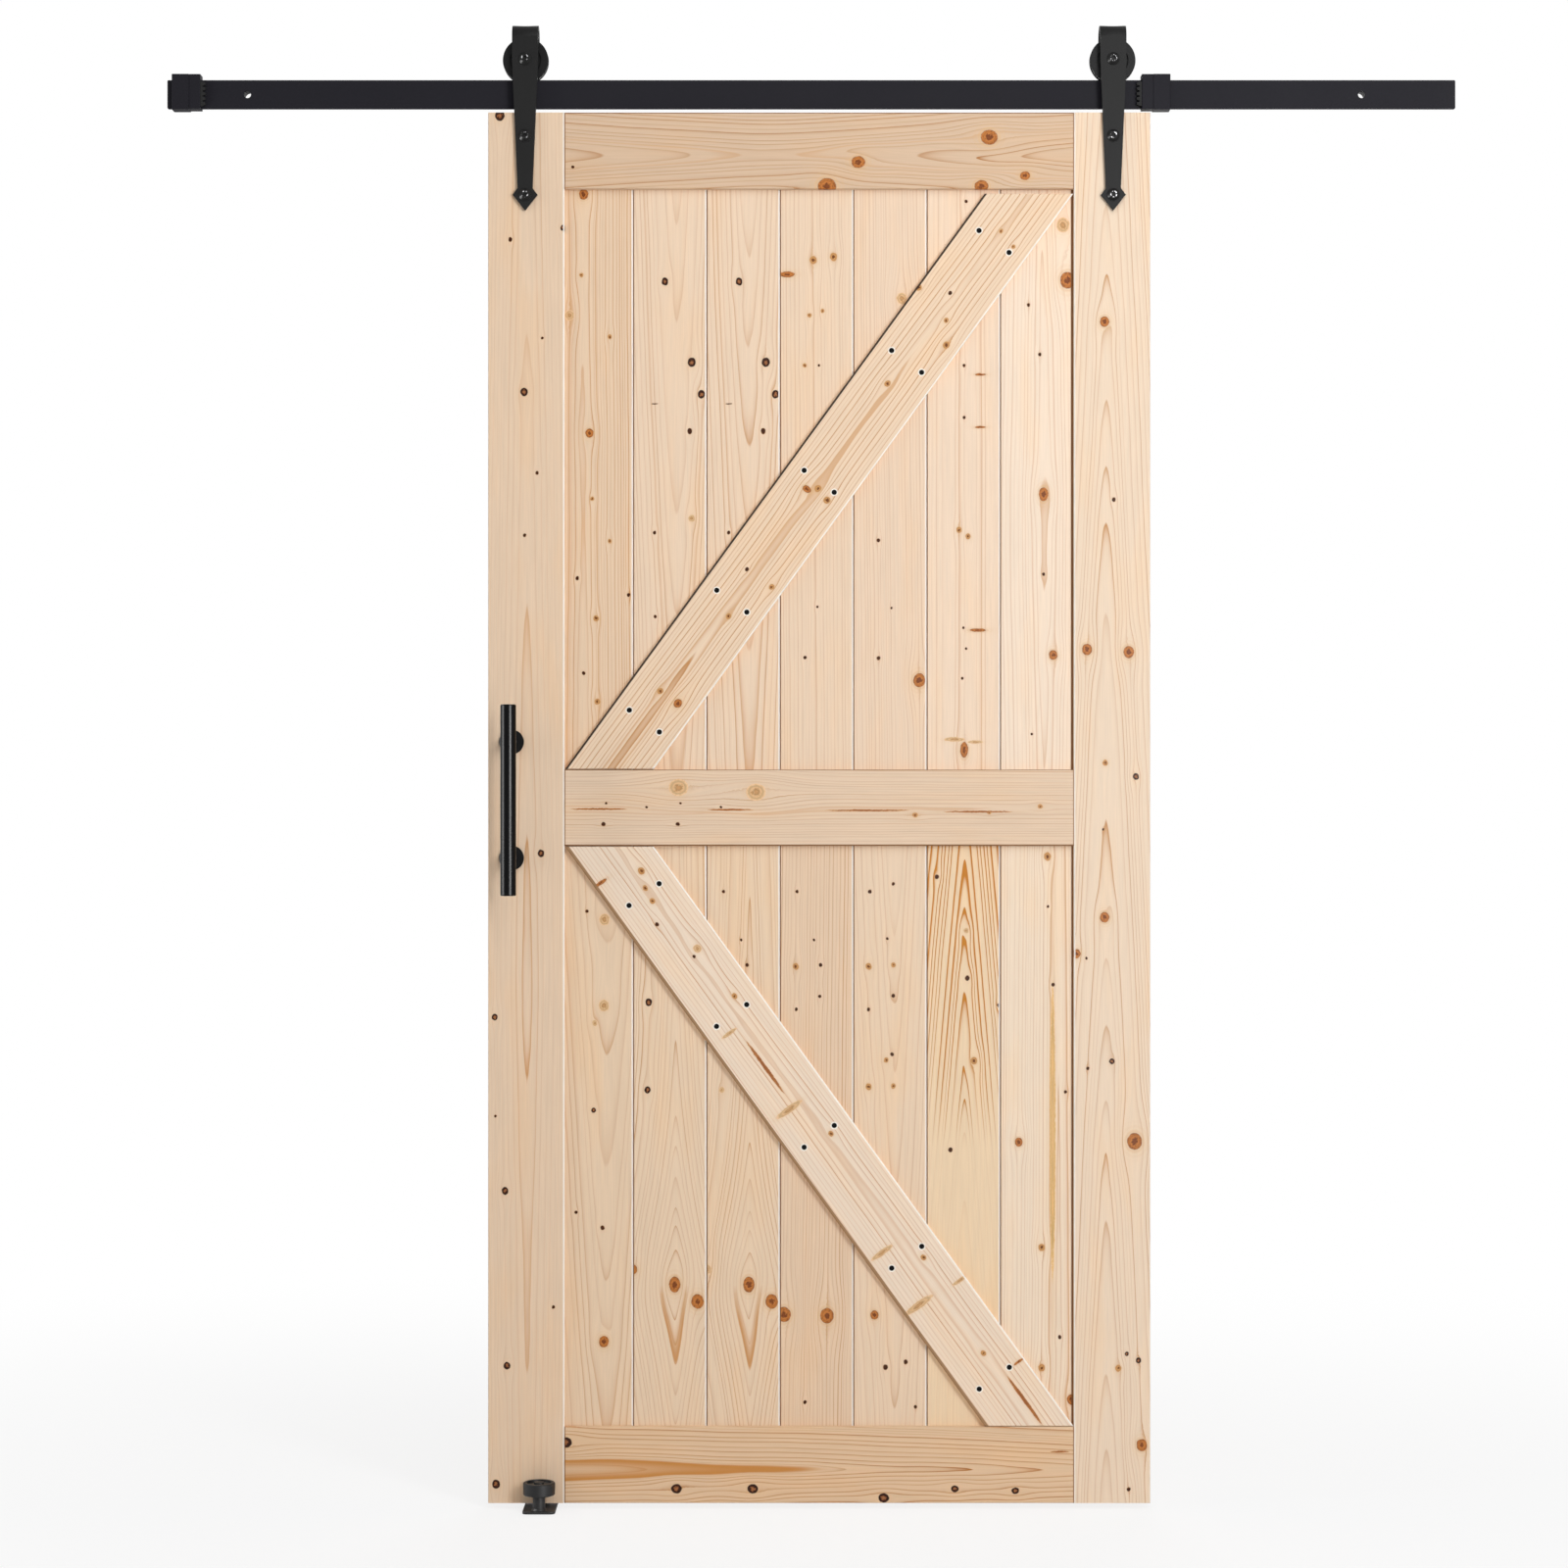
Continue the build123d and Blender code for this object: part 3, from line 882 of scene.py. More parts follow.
@dataclass(frozen=True)
class Timber:
    """One piece of planed spruce: how it was sawn, its tone and its knots.

    The pith lies pith_across millimetres from the piece's middle and pith_depth below the face.
    Taper is how fast rings widen away from turn_at, which is in millimetres along the grain from
    the middle, and swell how far a knot there lifts them. The heart streak ends in a tip
    heart_reach away from turn_at, on both sides of it, above it (1) or below it (-1), and is no
    wider than heart_half to each side. Lines change by line_rise in each 100 mm along the grain and
    fade line_reach to each side of the pith. Wander is how much the rings wave. Highlight and
    shade edges are the widths of painted bands along the two long edges, left or upper edge first:
    painted highlight where a bevel catches the light and painted shade where a joint lies in
    shadow. Shade ends are the painted shade at the ends of a rail, in the colour of that shade.
    """

    grain: Grain = Grain.UPRIGHT
    pith_across: float = 0.0
    pith_depth: float = 25.0
    taper: float = 0.02
    turn_at: float = -1500.0
    spacing: float = 7.0
    lines: float = 0.8
    line_rise: float = 0.0
    heart: float = 0.0
    heart_reach: float = 0.0
    heart_width: float = 5.0
    heart_side: float = 0.0
    heart_half: float = 200.0
    swell: float = 0.0
    line_reach: float = 400.0
    wander: float = 1.0
    # widths of painted highlight and painted shade along the edges and ends, and the colour of that shade
    highlight_edges: Point = (0.0, 2.4)
    shade_edges: Point = (1.8, 0.0)
    shade_ends: Point = (0.0, 0.0)
    gap: Colour = PAINTED_GAP_SHADE
    late: Colour = srgb(212, 170, 122)
    tone: Colour = srgb(238, 212, 184)
    knots: tuple[Knot, ...] = ()

    def heart_at(self) -> float:
        """The ring that the heart streak ends at, in the measure of the growth rings."""
        away = math.hypot(self.heart_reach, GrowthRings.round_over)
        return self.pith_depth + self.taper * away - self.swell * math.exp(-away / GrowthRings.swell_length)


@dataclass(frozen=True)
class Spruce:
    """The finish of one wooden piece."""

    node: str
    timber: Timber
    seed: float
    face_corner: Vector
    screws: "BraceScrews | None" = None
    specular: float = 0.12
    relief: Point = (0.3 * MM, 0.35)
    faint: float = 0.3
    side_turn: Point = (0.3, 0.7)
    band_share: float = 0.95
    no_knot: float = 60.0
    rise_step: float = 100.0

    def middle(self) -> Vector:
        """The middle of the piece, on the face of the door."""
        low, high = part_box(self.node)
        return Vector(((low.x + high.x) / 2, self.face_corner.y, (low.z + high.z) / 2))

    def turn(self) -> float:
        """Find how far the grain is turned.

        Returns:
            The angle in radians, about the axis into the door.
        """
        match self.timber.grain:
            case Grain.UPRIGHT:
                return 0.0
            case Grain.LEVEL:
                return -math.pi / 2
            case Grain.RISING:
                return -brace_lean(self.node)
            case Grain.FALLING:
                return brace_lean(self.node)

    def on_grain(self, knot: Knot) -> Point:
        """Place a knot on the grain.

        Args:
            knot: The knot, measured from the corner of the door.

        Returns:
            Millimetres across and along the grain from the middle of the piece.
        """
        corner = (self.face_corner - self.middle()) / MM
        x = corner.x + knot.x
        z = corner.z - knot.drop
        c, s = math.cos(self.turn()), math.sin(self.turn())
        return x * c + z * s, z * c - x * s

    def face_edges(self) -> Point:
        """Find the long edges of the visible face.

        Returns:
            Where both lie, in millimetres across the grain from the middle.
        """
        low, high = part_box(self.node)
        half = Braces.width / 2
        if self.timber.grain is Grain.LEVEL:
            half = (high.z - low.z) / 2
        if self.timber.grain is not Grain.UPRIGHT:
            return -half / MM, half / MM
        left, right = low.x, high.x
        if "board" in self.node:
            left = max(left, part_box("left_stile")[1].x)
            right = min(right - Panel.tongue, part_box("right_stile")[0].x)
        middle = self.middle().x
        return (left - middle) / MM, (right - middle) / MM

    def face_ends(self) -> Point:
        """Where a rail's face meets the stiles, in millimetres along it from its middle."""
        middle = self.middle().x
        return (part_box("left_stile")[1].x - middle) / MM, (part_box("right_stile")[0].x - middle) / MM

    def line_amount(self, graph: Graph, place: Values) -> Value:
        """Find how strong the ring lines are, which are faint far from the pith and on narrow sides.

        Args:
            graph: The material's graph.
            place: Where a point lies on the grain.

        Returns:
            The strength.
        """
        timber = self.timber
        change = place["Along"] * (timber.line_rise / self.rise_step) + timber.lines
        change = graph.math("MAXIMUM", change, timber.lines * self.faint)
        beside = abs(place["Across"] - timber.pith_across)
        near = beside.ease(0.5 * timber.line_reach, timber.line_reach, 1.0, self.faint)
        on_face = abs(graph.facing("True Normal")[1]).ease(*self.side_turn, self.faint, 1.0)
        return change * near * on_face

    def chain_knots(self, graph: Graph, place: Values) -> dict[str, Feed]:
        """Put the knots of the piece into its material, one after another.

        Args:
            graph: The material's graph.
            place: Where a point lies on the grain.

        Returns:
            How far the knots bend the grain, and the nearest one's kind and distance in its radii.
        """
        chain: dict[str, Feed] = {"Bend": 0.0, "Nearest": self.no_knot, "Kind": KnotKind.PIN.value}
        for knot in self.timber.knots:
            across, along = self.on_grain(knot)
            chain = KNOT_LINK.put(graph, {
                **chain, "Across": place["Ragged Across"], "Along": place["Ragged Along"],
                "At Across": across, "At Along": along, "Radius": knot.radius, "Stretch": knot.stretch,
                "Own Kind": knot.kind.value, "Push": knot.push,
            })
        return chain

    def band_edges(self, graph: Graph, place: Values, colour: Value) -> Value:
        """Lay the bands of painted highlight and painted shade along the edges and ends of the face.

        Args:
            graph: The material's graph.
            place: Where a point lies on the grain.
            colour: The colour of the wood.

        Returns:
            The colour with its bands.
        """
        timber = self.timber
        sides, ends = self.face_edges(), self.face_ends()
        # painted highlight on lit bevels, then painted shade in the joints along the edges and at the rail
        # ends
        for way, limits, widths, tint in (("Across", sides, timber.highlight_edges, FRESH_WOOD_AND_HIGHLIGHT),
                                          ("Across", sides, timber.shade_edges, timber.gap),
                                          ("Along", ends, timber.shade_ends, timber.gap)):
            if any(widths):
                band = EDGE_BANDS.put(graph, {
                    "Across": place[way], "Low": limits[0], "High": limits[1],
                    "Low Width": widths[0], "High Width": widths[1],
                })["Band"]
                colour = graph.mix(band * self.band_share, colour, tint)
        return colour

    def material(self) -> bpy.types.Material:
        """Build the wood of this piece.

        Returns:
            The finished material.
        """
        timber = self.timber
        material, graph, shader = new_material("spruce " + self.node.replace("_", " "))
        place = GRAIN_FRAME.put(graph, {"Corner": tuple(self.middle()), "Turn": self.turn()})
        chain = self.chain_knots(graph, place)
        rings = GROWTH_RINGS.put(graph, {
            "Across": place["Across"] - chain["Bend"], "Along": place["Along"], "Depth": place["Depth"],
            "Pith Across": timber.pith_across, "Pith Depth": timber.pith_depth, "Taper": timber.taper,
            "Turn At": timber.turn_at, "Swell": timber.swell, "Spacing": timber.spacing,
            "Wander": timber.wander, "Heart At": timber.heart_at(), "Heart Width": timber.heart_width,
            "Heart Side": timber.heart_side, "Heart Half": timber.heart_half, "Seed": self.seed,
        })
        wood = SPRUCE_COLOUR.put(graph, {
            **rings, "Pale": timber.tone, "Late": timber.late, "Heart Amount": timber.heart,
            "Line Amount": self.line_amount(graph, place),
            "Nearest": chain["Nearest"], "Kind": chain["Kind"],
        })
        colour = wood["Color"]
        if self.screws:
            colour = self.screws.fresh_wood(graph, place, colour)
        colour = self.band_edges(graph, place, colour)
        surface(graph, shader, colour, wood, self.specular, self.relief)
        return material


@dataclass(frozen=True)
class SteelFinish:
    """A black baked coat on steel."""

    name: str
    coat: Colour
    roughness: float
    specular: float
    peel: float = 1.0
    relief: Point = (0.06 * MM, 0.4)
    bare_steel: Colour = srgb(225, 225, 228)

    def material(self, name: str = "", glint_wear: dict[str, Feed] | None = None) -> bpy.types.Material:
        """Build the coat.

        Args:
            name: The material's name, where it isn't the coat's own.
            glint_wear: What the painted socket glints take, where rims of sockets get spots of uncoated
                steel.

        Returns:
            The finished material.
        """
        material, graph, shader = new_material(name or self.name)
        coat = COATED_STEEL.put(graph, {"Coat": self.coat, "Sheen": self.roughness, "Peel": self.peel})
        colour = coat["Color"]
        if glint_wear:
            # painted glints on the socket rims, in uncoated metallic steel
            bare = SOCKET_WEAR_GLINTS.put(graph, glint_wear)["Bare"]
            colour = graph.mix(bare, colour, self.bare_steel)
            graph.feed(shader.inputs["Metallic"], bare)
        surface(graph, shader, colour, coat, self.specular, self.relief)
        return material


class Finishes:
    """The black finishes, each made once."""

    def __init__(self) -> None:
        """Make the coats and the rubber."""
        self.strap = SteelFinish("strap coat", srgb(25, 25, 25), 0.48, 0.11).material()
        self.track = SteelFinish("track coat", srgb(23, 22, 29), 0.68, 0.1).material()
        self.wheel = SteelFinish("wheel coat", srgb(14, 14, 15), 0.42, 0.12).material()
        self.bolt_coat = SteelFinish("bolt coat", srgb(20, 20, 20), 0.3, 0.16, 0.5)
        self.bolt = self.bolt_coat.material()
        self.bar = SteelFinish("handle coat", srgb(4, 4, 5), 0.25, 0.08, 0.15).material()
        self.post = SteelFinish("post coat", srgb(7, 7, 8), 0.5, 0.08, 0.3).material()
        self.guide = SteelFinish("guide coat", srgb(24, 24, 25), 0.46, 0.3).material()
        self.roller = SteelFinish("roller coat", srgb(20, 20, 21), 0.4, 0.3).material()
        self.rubber = SteelFinish("ribbed rubber", srgb(14, 14, 14), 0.75, 0.2, 1.6).material()
        self.screw = SteelFinish("screw coat", srgb(6, 6, 6), 0.5, 0.06).material()


def brace_lean(node: str) -> float:
    """Find how far a brace leans from upright, from the box that it fills.

    Args:
        node: The brace's name.

    Returns:
        The angle in radians.
    """
    low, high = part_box(node)
    width, height = high.x - low.x, high.z - low.z
    square = Braces.width**2
    tall = height**2
    root = math.sqrt(square**2 * width**2 + (tall - square) * square * (width**2 + tall))
    end = (root - square * width) / (tall - square)
    return math.atan2(width - end, height)


WELD_REACH = 0.005 * MM
EASED_STEPS = 2
SHARP_ANGLE = math.radians(40)


def soften(node: str, width: float) -> None:
    """Ease the sharp edges of a steel node so that they catch the light.

    Args:
        node: The node's name.
        width: The width of the eased edge, in metres.
    """
    modifiers = NODES[node].modifiers
    modifiers.new("weld", "WELD").merge_threshold = WELD_REACH
    bevel = modifiers.new("eased edges", "BEVEL")
    bevel.width = width
    bevel.segments = EASED_STEPS
    bevel.limit_method = "ANGLE"
    bevel.angle_limit = SHARP_ANGLE
    bevel.harden_normals = True


class ScrewHead:
    """Heads of screws, made one after another into a single mesh.

    The arms of the cross recess, its half width, its depth and the flat crown are shares of the
    head's radius, and the recess narrows to floor_share of itself.
    """

    sides = 24
    arm_share = 0.62
    slot_share = 0.16
    depth_share = 0.45
    crown_share = 0.78
    floor_share = 0.7

    def __init__(self, name: str) -> None:
        """Start an empty mesh of that name."""
        self.name = name
        self.mesh = bmesh.new()

    def add(self, seat: Vector, way: float, radius: float, skirt: Point, dome: float) -> None:
        """Add a head with a cross recess, facing along Y.

        Args:
            seat: The middle of the head's rim.
            way: -1 for a head that faces the front of the door, 1 for the back.
            radius: The radius of the rim.
            skirt: The radius at the foot of the skirt, and how far behind the rim it lies.
            dome: How far the middle stands in front of the rim.
        """
        foot = self.circle(seat, skirt[0], -way * skirt[1])
        rim = self.circle(seat, radius, 0.0)
        crown = self.circle(seat, self.crown_share * radius, way * dome)
        self.band(foot, rim)
        self.band(rim, crown)
        arm, slot = self.arm_share * radius, self.slot_share * radius
        top, bottom = way * dome, way * (dome - self.depth_share * radius)
        cross = []
        for quarter in range(4):
            c, s = math.cos(quarter * math.pi / 2), math.sin(quarter * math.pi / 2)
            for x, z in ((arm, -slot), (arm, slot), (slot, slot)):
                cross.append(Vector((x * c - z * s, 0, x * s + z * c)))
        lip = [self.point(seat, corner, top) for corner in cross]
        floor = [self.point(seat, self.floor_share * corner, bottom) for corner in cross]
        self.band(lip, floor)
        self.mesh.faces.new(floor)
        edges = [self.edge(loop[i - 1], loop[i]) for loop in (crown, lip) for i in range(len(loop))]
        bmesh.ops.triangle_fill(self.mesh, use_beauty=True, edges=edges)

    def point(self, seat: Vector, beside: Vector, out: float) -> bmesh.types.BMVert:
        """A point beside the screw's axis, some way out along it."""
        return self.mesh.verts.new(seat + beside + Vector((0, out, 0)))

    def circle(self, seat: Vector, radius: float, out: float) -> list[bmesh.types.BMVert]:
        """Make a ring of points about the screw's axis.

        Args:
            seat: The middle of the head's rim.
            radius: The ring's radius.
            out: How far along Y the ring lies from the seat.

        Returns:
            The points in order.
        """
        points = []
        for step in range(self.sides):
            turn = step * 2 * math.pi / self.sides
            points.append(self.point(seat, radius * Vector((math.cos(turn), 0, math.sin(turn))), out))
        return points

    def edge(self, first: bmesh.types.BMVert, second: bmesh.types.BMVert) -> bmesh.types.BMEdge:
        """The edge between two points, made if it isn't there."""
        return self.mesh.edges.get((first, second)) or self.mesh.edges.new((first, second))

    def band(self, first: list[bmesh.types.BMVert], second: list[bmesh.types.BMVert]) -> None:
        """Close the strip between two rings of as many points."""
        for i in range(len(first)):
            self.mesh.faces.new((first[i - 1], first[i], second[i], second[i - 1]))

    def finish(self, body: str, material: bpy.types.Material) -> None:
        """Turn the mesh into a piece of the part.

        Args:
            body: The body that it rides on.
            material: Its look.
        """
        bmesh.ops.recalc_face_normals(self.mesh, faces=self.mesh.faces)
        data = bpy.data.meshes.new(self.name)
        self.mesh.to_mesh(data)
        self.mesh.free()
        data.materials.append(material)
        piece = new_object(self.name, data)
        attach(piece, body)
        LOG.info("%s rides on %s", self.name, body)


@dataclass(frozen=True)
class BraceScrews:
    """Two rows of countersunk screws that hold a brace."""

    node: str
    grain: Grain
    rows: int = 5
    pair: float = 57 * MM
    end: float = 91 * MM
    head: float = 4.2 * MM
    shank: float = 2.2 * MM
    sink: float = 2.4 * MM
    set_in: float = 0.15 * MM
    play: float = 0.1 * MM
    dome: float = 0.05 * MM
    fresh: float = 6.0 * MM
    fresh_share: float = 0.75

    def lean(self) -> float:
        """The lean of the brace from upright, positive to the right."""
        return brace_lean(self.node) if self.grain is Grain.RISING else -brace_lean(self.node)

    def pitch(self) -> float:
        """Find the distance between rows.

        Returns:
            The distance in metres.
        """
        low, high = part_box(self.node)
        length = (high.z - low.z) / math.cos(self.lean())
        return (length - 2 * self.end) / (self.rows - 1)

    def seats(self) -> list[Vector]:
        """Find the middles of the countersinks, on the face of the brace.

        Returns:
            The middles, pair by pair from the lower end.
        """
        low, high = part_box(self.node)
        middle = Vector(((low.x + high.x) / 2, low.y, (low.z + high.z) / 2))
        along = Vector((math.sin(self.lean()), 0, math.cos(self.lean())))
        across = Vector((along.z, 0, -along.x))
        found = []
        for row in range(self.rows):
            step = (row - (self.rows - 1) / 2) * self.pitch()
            for side in (-0.5, 0.5):
                found.append(middle + along * step + across * side * self.pair)
        return found

    def build(self, material: bpy.types.Material) -> None:
        """Set a screw in each countersink.

        Args:
            material: The look of the screws.
        """
        slope = (self.head - self.shank) / self.sink
        radius = self.head - slope * self.set_in - self.play
        depth = self.sink - 2 * self.set_in
        skirt = (radius - slope * depth, depth)
        heads = ScrewHead(self.node + "_screws")
        for seat in self.seats():
            heads.add(seat + Vector((0, self.set_in, 0)), -1, radius, skirt, self.dome)
        heads.finish("door", material)

    def fresh_wood(self, graph: Graph, place: Values, colour: Value) -> Value:
        """Lighten the wood that the countersink cut.

        Args:
            graph: The brace's graph.
            place: Where a point lies on the grain.
            colour: The colour of the wood.

        Returns:
            The colour with a pale ring round each screw.
        """
        rings = FRESH_RING.put(graph, {
            "Across": place["Across"], "Along": place["Along"], "Pitch": self.pitch() / MM,
            "Pair": self.pair / MM, "Radius": self.fresh / MM,
        })
        return graph.mix(rings["Ring"] * self.fresh_share, colour, FRESH_WOOD_AND_HIGHLIGHT)


class Wood:
    """What the wooden sub-assemblies share."""

    first_seed = 1.0
    seed_step = 7.31

    def corner(self) -> Vector:
        """The top left corner of the door's face."""
        low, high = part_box("left_stile")
        return Vector((low.x, low.y, high.z))

    def cover(self, pieces: dict[str, Timber], screws: dict[str, BraceScrews] | None = None) -> None:
        """Give each piece its own wood.

        Args:
            pieces: The timber of each node.
            screws: The screws of the nodes that have them.
        """
        for index, (node, timber) in enumerate(pieces.items()):
            seed = self.first_seed + index * self.seed_step
            held = (screws or {}).get(node)
            dress(node, Spruce(node, timber, seed, self.corner(), held).material())


@dataclass
class DoorFrame(Wood):
    """The two stiles and three rails."""

    first_seed = 3.7

    def build(self) -> None:
        """Dress the stiles and rails."""
        self.cover({
            "left_stile": Timber(
                pith_across=1, pith_depth=14, taper=0.014, turn_at=-260, spacing=6, lines=1.3,
                line_reach=36, late=srgb(222, 178, 122), shade_edges=(0, 0), tone=srgb(233, 206, 178),
                knots=(ring(18, 5, 7), ring(115, 177, 4), pin(34, 195, 3.4), pin(83, 346, 2.2),
                       ring(55, 429, 5.5), pin(75, 553, 2.8), pin(56, 649, 2.8), ring(81, 1137),
                       ring(10, 1388, 4.5), pin(11, 1540, 2), ring(26, 1655), pin(100, 1833),
                       ring(29, 1923), ring(12, 2105, 6)),
            ),
            "right_stile": Timber(
                pith_across=-9, pith_depth=16, taper=0.045, turn_at=-1160, spacing=6, lines=1.5,
                highlight_edges=(2.4, 0), shade_edges=(0, 0), tone=srgb(240, 217, 192),
                knots=(sound(946, 321, 7), pin(960, 594, 3.2), sound(919, 824, 7.5), sound(983, 828, 8),
                       sound(947, 998, 4), ring(994, 1019, 4.5), pin(944, 1100, 2), sound(946, 1235, 7),
                       sound(903, 1291, 6), pin(918, 1298, 2.2), ring(957, 1456, 4), pin(920, 1467),
                       sound(992, 1579, 11), ring(980, 1905, 3), ring(998, 1915, 4),
                       sound(967, 1927, 4.5), sound(1003, 2045, 8), pin(983, 2113, 3)),
            ),
            "top_rail": Timber(
                Grain.LEVEL, pith_across=7, pith_depth=15, taper=-0.065, turn_at=-88, spacing=6.5,
                lines=2.0, heart=0.3, heart_reach=40, heart_width=2, highlight_edges=(0, 0),
                shade_edges=(1.8, 0), shade_ends=(1.6, 1.6), tone=srgb(218, 189, 160),
                knots=(pin(130, 84), sound(568, 76, 9), sound(520, 113, 12), sound(769, 38, 11),
                       sound(757, 113, 9), sound(824, 97, 6.5)),
            ),
            "middle_rail": Timber(
                Grain.LEVEL, pith_across=2, pith_depth=9, taper=0.004, turn_at=-700, spacing=4.5,
                lines=1.7, heart=0.35, heart_reach=900, heart_width=1.6, highlight_edges=(0, 0),
                shade_edges=(1.2, 2.4), shade_ends=(1.6, 1.6), tone=srgb(231, 205, 178),
                knots=(pale(411, 1043, 13), pale(292, 1036, 13), pin(177, 1092, 3.2),
                       pin(291, 1092, 3.2), pin(181, 1060, 2), pin(295, 1060, 2), pin(243, 1066, 2),
                       pin(357, 1066, 2), sound(655, 1078, 3.6), sound(769, 1074, 3),
                       sound(847, 1065, 3.4), slit(170, 1069, 42), slit(372, 1070, 34),
                       slit(582, 1071, 62), slit(752, 1073, 52)),
            ),
            "bottom_rail": Timber(
                Grain.LEVEL, pith_across=7, pith_depth=8, taper=0.03, turn_at=-508, spacing=6,
                lines=2.2, heart=1.0, heart_reach=520, heart_width=14, wander=2.4, highlight_edges=(0, 0),
                shade_edges=(0, 0), shade_ends=(1.6, 1.6), late=srgb(206, 158, 104),
                tone=srgb(229, 197, 162),
                knots=(ring(119, 2041, 8), ring(289, 2112, 7), ring(406, 2112, 7), ring(607, 2126, 7),
                       ring(716, 2112, 5), ring(809, 2115, 5), slit(877, 2055, 14)),
            ),
        })


